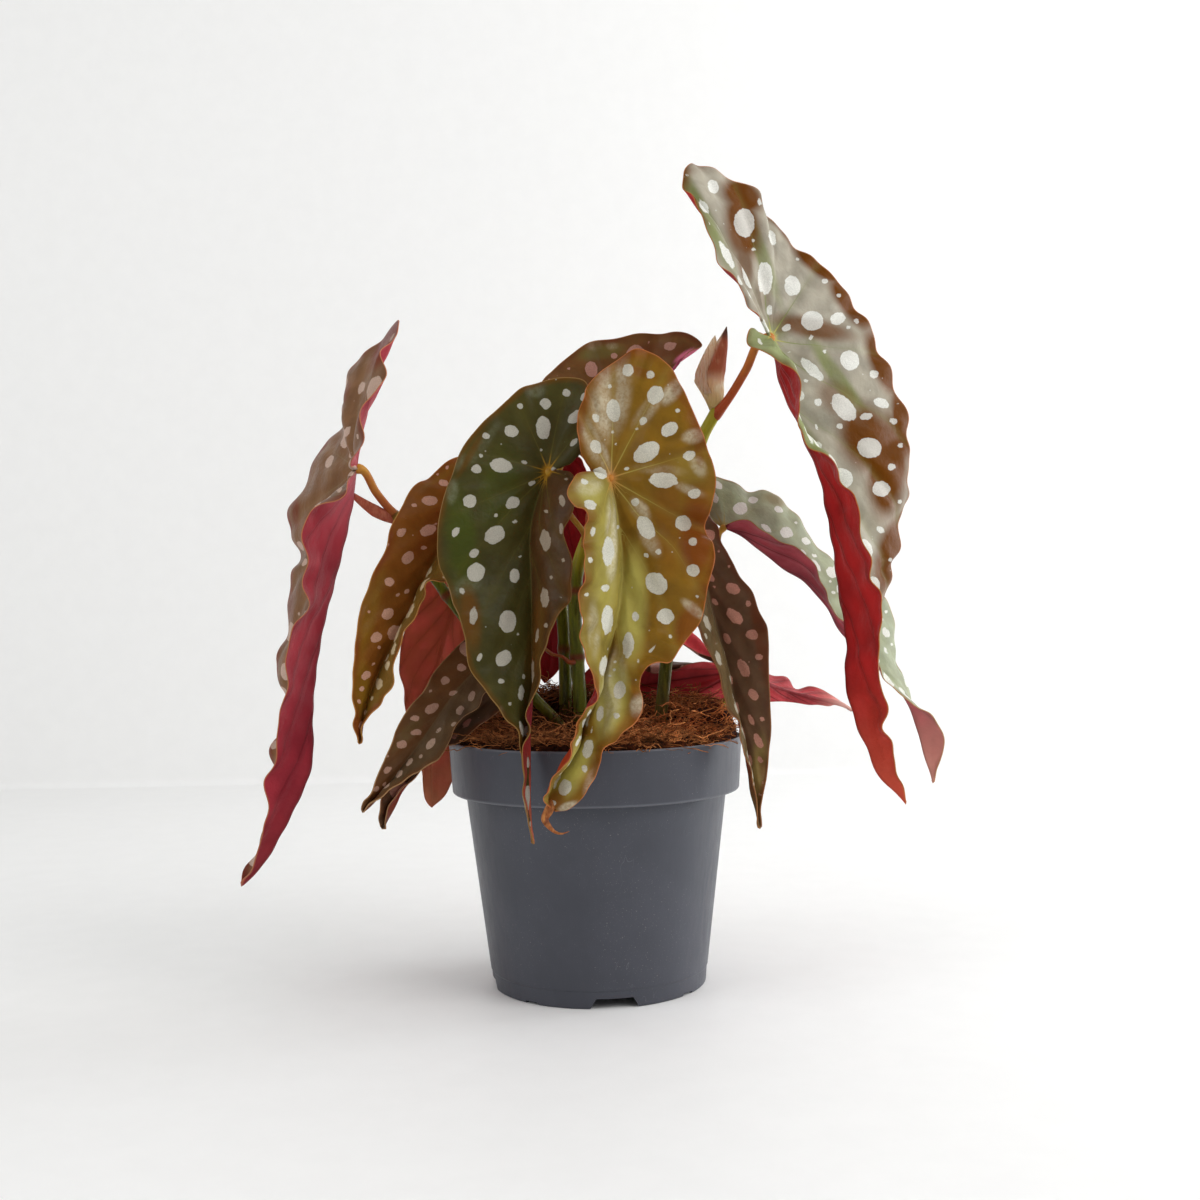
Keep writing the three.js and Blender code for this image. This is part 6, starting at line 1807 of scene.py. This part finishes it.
def fibre_tree(material):
    """Curled fibres scattered on a surface: the node tree and its inputs' identifiers."""
    tree = bpy.data.node_groups.new("coir_fibres", "GeometryNodeTree")
    tree.interface.new_socket("Geometry", in_out="OUTPUT", socket_type="NodeSocketGeometry")
    inputs = {}
    for name in ("Geometry", "Density", "Length", "Radius", "Curl", "Lift", "Seed"):
        kind = {"Geometry": "Geometry", "Seed": "Int"}.get(name, "Float")
        inputs[name] = tree.interface.new_socket(name, in_out="INPUT",
            socket_type="NodeSocket" + kind).identifier
    node = Nodes(tree).node
    given = node("NodeGroupInput").outputs
    scatter = node("GeometryNodeDistributePointsOnFaces", {"Mesh": given["Geometry"],
        "Density": given["Density"], "Seed": given["Seed"]}, distribute_method="RANDOM")
    end = node("ShaderNodeCombineXYZ", {"X": given["Length"]})
    line = node("GeometryNodeCurvePrimitiveLine", {"End": end})
    fine = node("GeometryNodeResampleCurve", {"Curve": line, "Count": FIBRE_POINTS})
    turn = node("FunctionNodeRandomValue", {0: (-0.3, -0.45, 0.0), 1: (0.25, 0.2, 2 * math.pi),
        "Seed": given["Seed"]}, data_type="FLOAT_VECTOR")
    size = node("FunctionNodeRandomValue", {"Min": 0.35, "Max": 1.25}, data_type="FLOAT")
    place = node("GeometryNodeInstanceOnPoints", {"Points": scatter, "Instance": fine,
        "Rotation": turn, "Scale": size})
    tint = node("FunctionNodeRandomValue", {"Seed": 7}, data_type="FLOAT")
    store = node("GeometryNodeStoreNamedAttribute", {"Geometry": place, "Name": "tint",
        "Value": tint}, data_type="FLOAT", domain="INSTANCE")
    real = node("GeometryNodeRealizeInstances", {0: store})
    wander = node("ShaderNodeTexNoise", {"Scale": 170.0, "Detail": 1.5}).outputs["Color"]
    centred = node("ShaderNodeVectorMath", {0: wander, 1: (0.5, 0.5, 0.5)}, operation="SUBTRACT")
    flatter = node("ShaderNodeVectorMath", {0: centred, 1: (1.0, 1.0, 0.75)},
        operation="MULTIPLY")
    scaled = node("ShaderNodeVectorMath", {0: flatter, "Scale": given["Curl"]}, operation="SCALE")
    up = node("ShaderNodeCombineXYZ", {"Z": given["Lift"]})
    raised = node("ShaderNodeVectorMath", {0: scaled, 1: up}, operation="ADD")
    bend = node("GeometryNodeSetPosition", {"Geometry": real, "Offset": raised})
    section = node("GeometryNodeCurvePrimitiveCircle", {"Resolution": FIBRE_SIDES,
        "Radius": given["Radius"]})
    skin = node("GeometryNodeCurveToMesh", {"Curve": bend, "Profile Curve": section,
        "Fill Caps": True})
    solid = node("GeometryNodeRealizeInstances", {0: skin})
    node("NodeGroupOutput", {0: node("GeometryNodeSetMaterial", {"Geometry": solid,
        "Material": material})})
    return tree, inputs


def coir_ground(name, reach, level):
    """An open patch of the plug's top, for fibres to grow on."""
    cells = np.arange(-57.0, 57.5, GROUND_CELL)
    x, y = np.meshgrid(cells, cells, indexing="ij")
    points = np.stack([x, y, coir_top(x, y) + level], 2).reshape(-1, 3)
    index = np.arange(x.size).reshape(x.shape)
    inside = np.hypot(x + GROUND_CELL / 2, y + GROUND_CELL / 2)[:-1, :-1] < reach
    quads = [index[:-1, :-1], index[1:, :-1], index[1:, 1:], index[:-1, 1:]]
    faces = np.stack([quad[inside] for quad in quads], 1).tolist()
    return linked(name, plain_mesh(name, points, faces))


class BEGONIA_OT_coir(Operator):
    """Make the coir plug and its curled fibres"""

    bl_idname = "begonia.coir"
    bl_label = "Coir"

    def execute(self, context):
        pot, coir = context.scene.begonia.pot, context.scene.begonia.coir
        # The ground's dark tones are the coir's own brown and painted shade in the gaps between the
        # fibres.
        dark = coir_material("coir_ground", linear(16, 8, 4), linear(78, 38, 18))
        settle(mesh_object("coir_plug", *coir_plug(pot), {}, dark), "coir_fibre", "coir")
        bright = coir_material("coir_fibre", linear(70, 32, 12), linear(222, 146, 88), "tint")
        tree, inputs = fibre_tree(bright)
        for order, (name, (inset, level, density, reach, thick)) in enumerate(FIBRES.items()):
            ground = coir_ground(name + "_ground", pot.rim_radius / MM - inset, level)
            grow = ground.modifiers.new("grow", "NODES")
            grow.node_group = tree
            for key, value in {"Density": coir.density * density,
                    "Length": coir.fibre_length * reach, "Radius": coir.fibre_radius * thick,
                    "Curl": coir.curl, "Lift": FIBRE_LIFT, "Seed": coir.seed + order}.items():
                grow[inputs[key]] = value
            fibres = linked(name, as_modified(ground, name))
            ground.modifiers.remove(grow)
            bpy.data.objects.remove(ground)
            settle(fibres, "coir_fibre")
        return {"FINISHED"}


class BEGONIA_OT_stage(Operator):
    """Make the pale floor and backdrop, the lights and the camera"""

    bl_idname = "begonia.stage"
    bl_label = "Stage"

    def execute(self, context):
        scene, stage = context.scene, context.scene.begonia.stage
        reach, back, cove = stage.reach, stage.wall_at, 0.006
        turn = [(back - cove * (1 - math.sin(t)), cove * (1 - math.cos(t)))
            for t in np.linspace(0, math.pi / 2, 9)]
        section = [(-reach, 0.0), *turn, (back, reach)]
        points = [(x, y, z) for y, z in section for x in (-reach, reach)]
        faces = [(2 * k, 2 * k + 1, 2 * k + 3, 2 * k + 2) for k in range(len(section) - 1)]
        floor = bpy.data.meshes.new("stage_sweep")
        floor.from_pydata(points, [], faces)
        floor.materials.append(paper_material(tuple(stage.paper)))
        linked("stage_sweep", floor)

        world = bpy.data.worlds.new("room")
        world.use_nodes = True
        background = world.node_tree.nodes["Background"]
        background.inputs["Color"].default_value = (1.0, 0.995, 0.985, 1.0)
        background.inputs["Strength"].default_value = stage.fill
        scene.world = world

        lights = (
            ("key_front", (1.5, -1.02, 1.34), (0, 0, 0.15), 1.25, 2.0, (1.0, 0.99, 0.98)),
            ("key_side", (1.15, -0.1, 0.75), (0, 0, 0.15), 0.8, 0.36, (0.97, 0.98, 1.0)),
            ("low_side", (1.3, 0.5, 0.38), (0, 0, 0.08), 0.8, 1.25, (0.94, 0.97, 1.0)),
            ("left", (-1.1, -0.6, 0.8), (0, 0, 0.2), 0.8, 0.55, (0.98, 0.99, 1.0)),
            ("top", (0.0, 0.0, 1.4), (0, 0, 0.2), 1.0, 0.15, (1.0, 1.0, 1.0)),
        )
        for name, place, target, size, share, tone in lights:
            data = bpy.data.lights.new(name, "AREA")
            data.size, data.energy, data.color = size, stage.key_power * share, tone
            lamp = linked(name, data)
            lamp.location = place
            aim = Vector(target) - Vector(place)
            lamp.rotation_euler = aim.to_track_quat("-Z", "Y").to_euler()

        data = bpy.data.cameras.new("camera")
        data.lens, data.sensor_width = LENS, SENSOR_WIDTH
        scene.camera = linked("camera", data)
        scene.camera.location = Vector(VIEW_FROM) * MM
        scene.camera.rotation_euler = (math.pi / 2, VIEW_ROLL, 0)
        scene.view_settings.view_transform = "Standard"
        return {"FINISHED"}


OPERATORS = (BEGONIA_OT_stage, BEGONIA_OT_leaves, BEGONIA_OT_stems, BEGONIA_OT_sheath,
    BEGONIA_OT_dry_bits, BEGONIA_OT_pot, BEGONIA_OT_coir)


class BEGONIA_PT_panel(Panel):
    """Sizes, colours and steps of the plant"""

    bl_idname = "BEGONIA_PT_panel"
    bl_label = "Potted Begonia"
    bl_space_type = "VIEW_3D"
    bl_region_type = "UI"
    bl_category = "Begonia"

    def draw(self, context):
        settings = context.scene.begonia
        for title in ("leaf", "stem", "pot", "coir", "stage"):
            box = self.layout.box()
            box.label(text=title.capitalize())
            group = getattr(settings, title)
            for key in group.__annotations__:
                box.prop(group, key)
        for operator in OPERATORS:
            self.layout.operator(operator.bl_idname)


CLASSES = (BegoniaLeafSettings, BegoniaStemSettings, BegoniaPotSettings, BegoniaCoirSettings,
    BegoniaStageSettings, BegoniaSettings, *OPERATORS, BEGONIA_PT_panel)


def register():
    for cls in CLASSES:
        bpy.utils.register_class(cls)
    bpy.types.Scene.begonia = PointerProperty(type=BegoniaSettings)


def unregister():
    del bpy.types.Scene.begonia
    for cls in reversed(CLASSES):
        bpy.utils.unregister_class(cls)


def main():
    register()
    for operator in OPERATORS:
        group, action = operator.bl_idname.split(".")
        getattr(getattr(bpy.ops, group), action)()


if __name__ == "__main__":
    main()
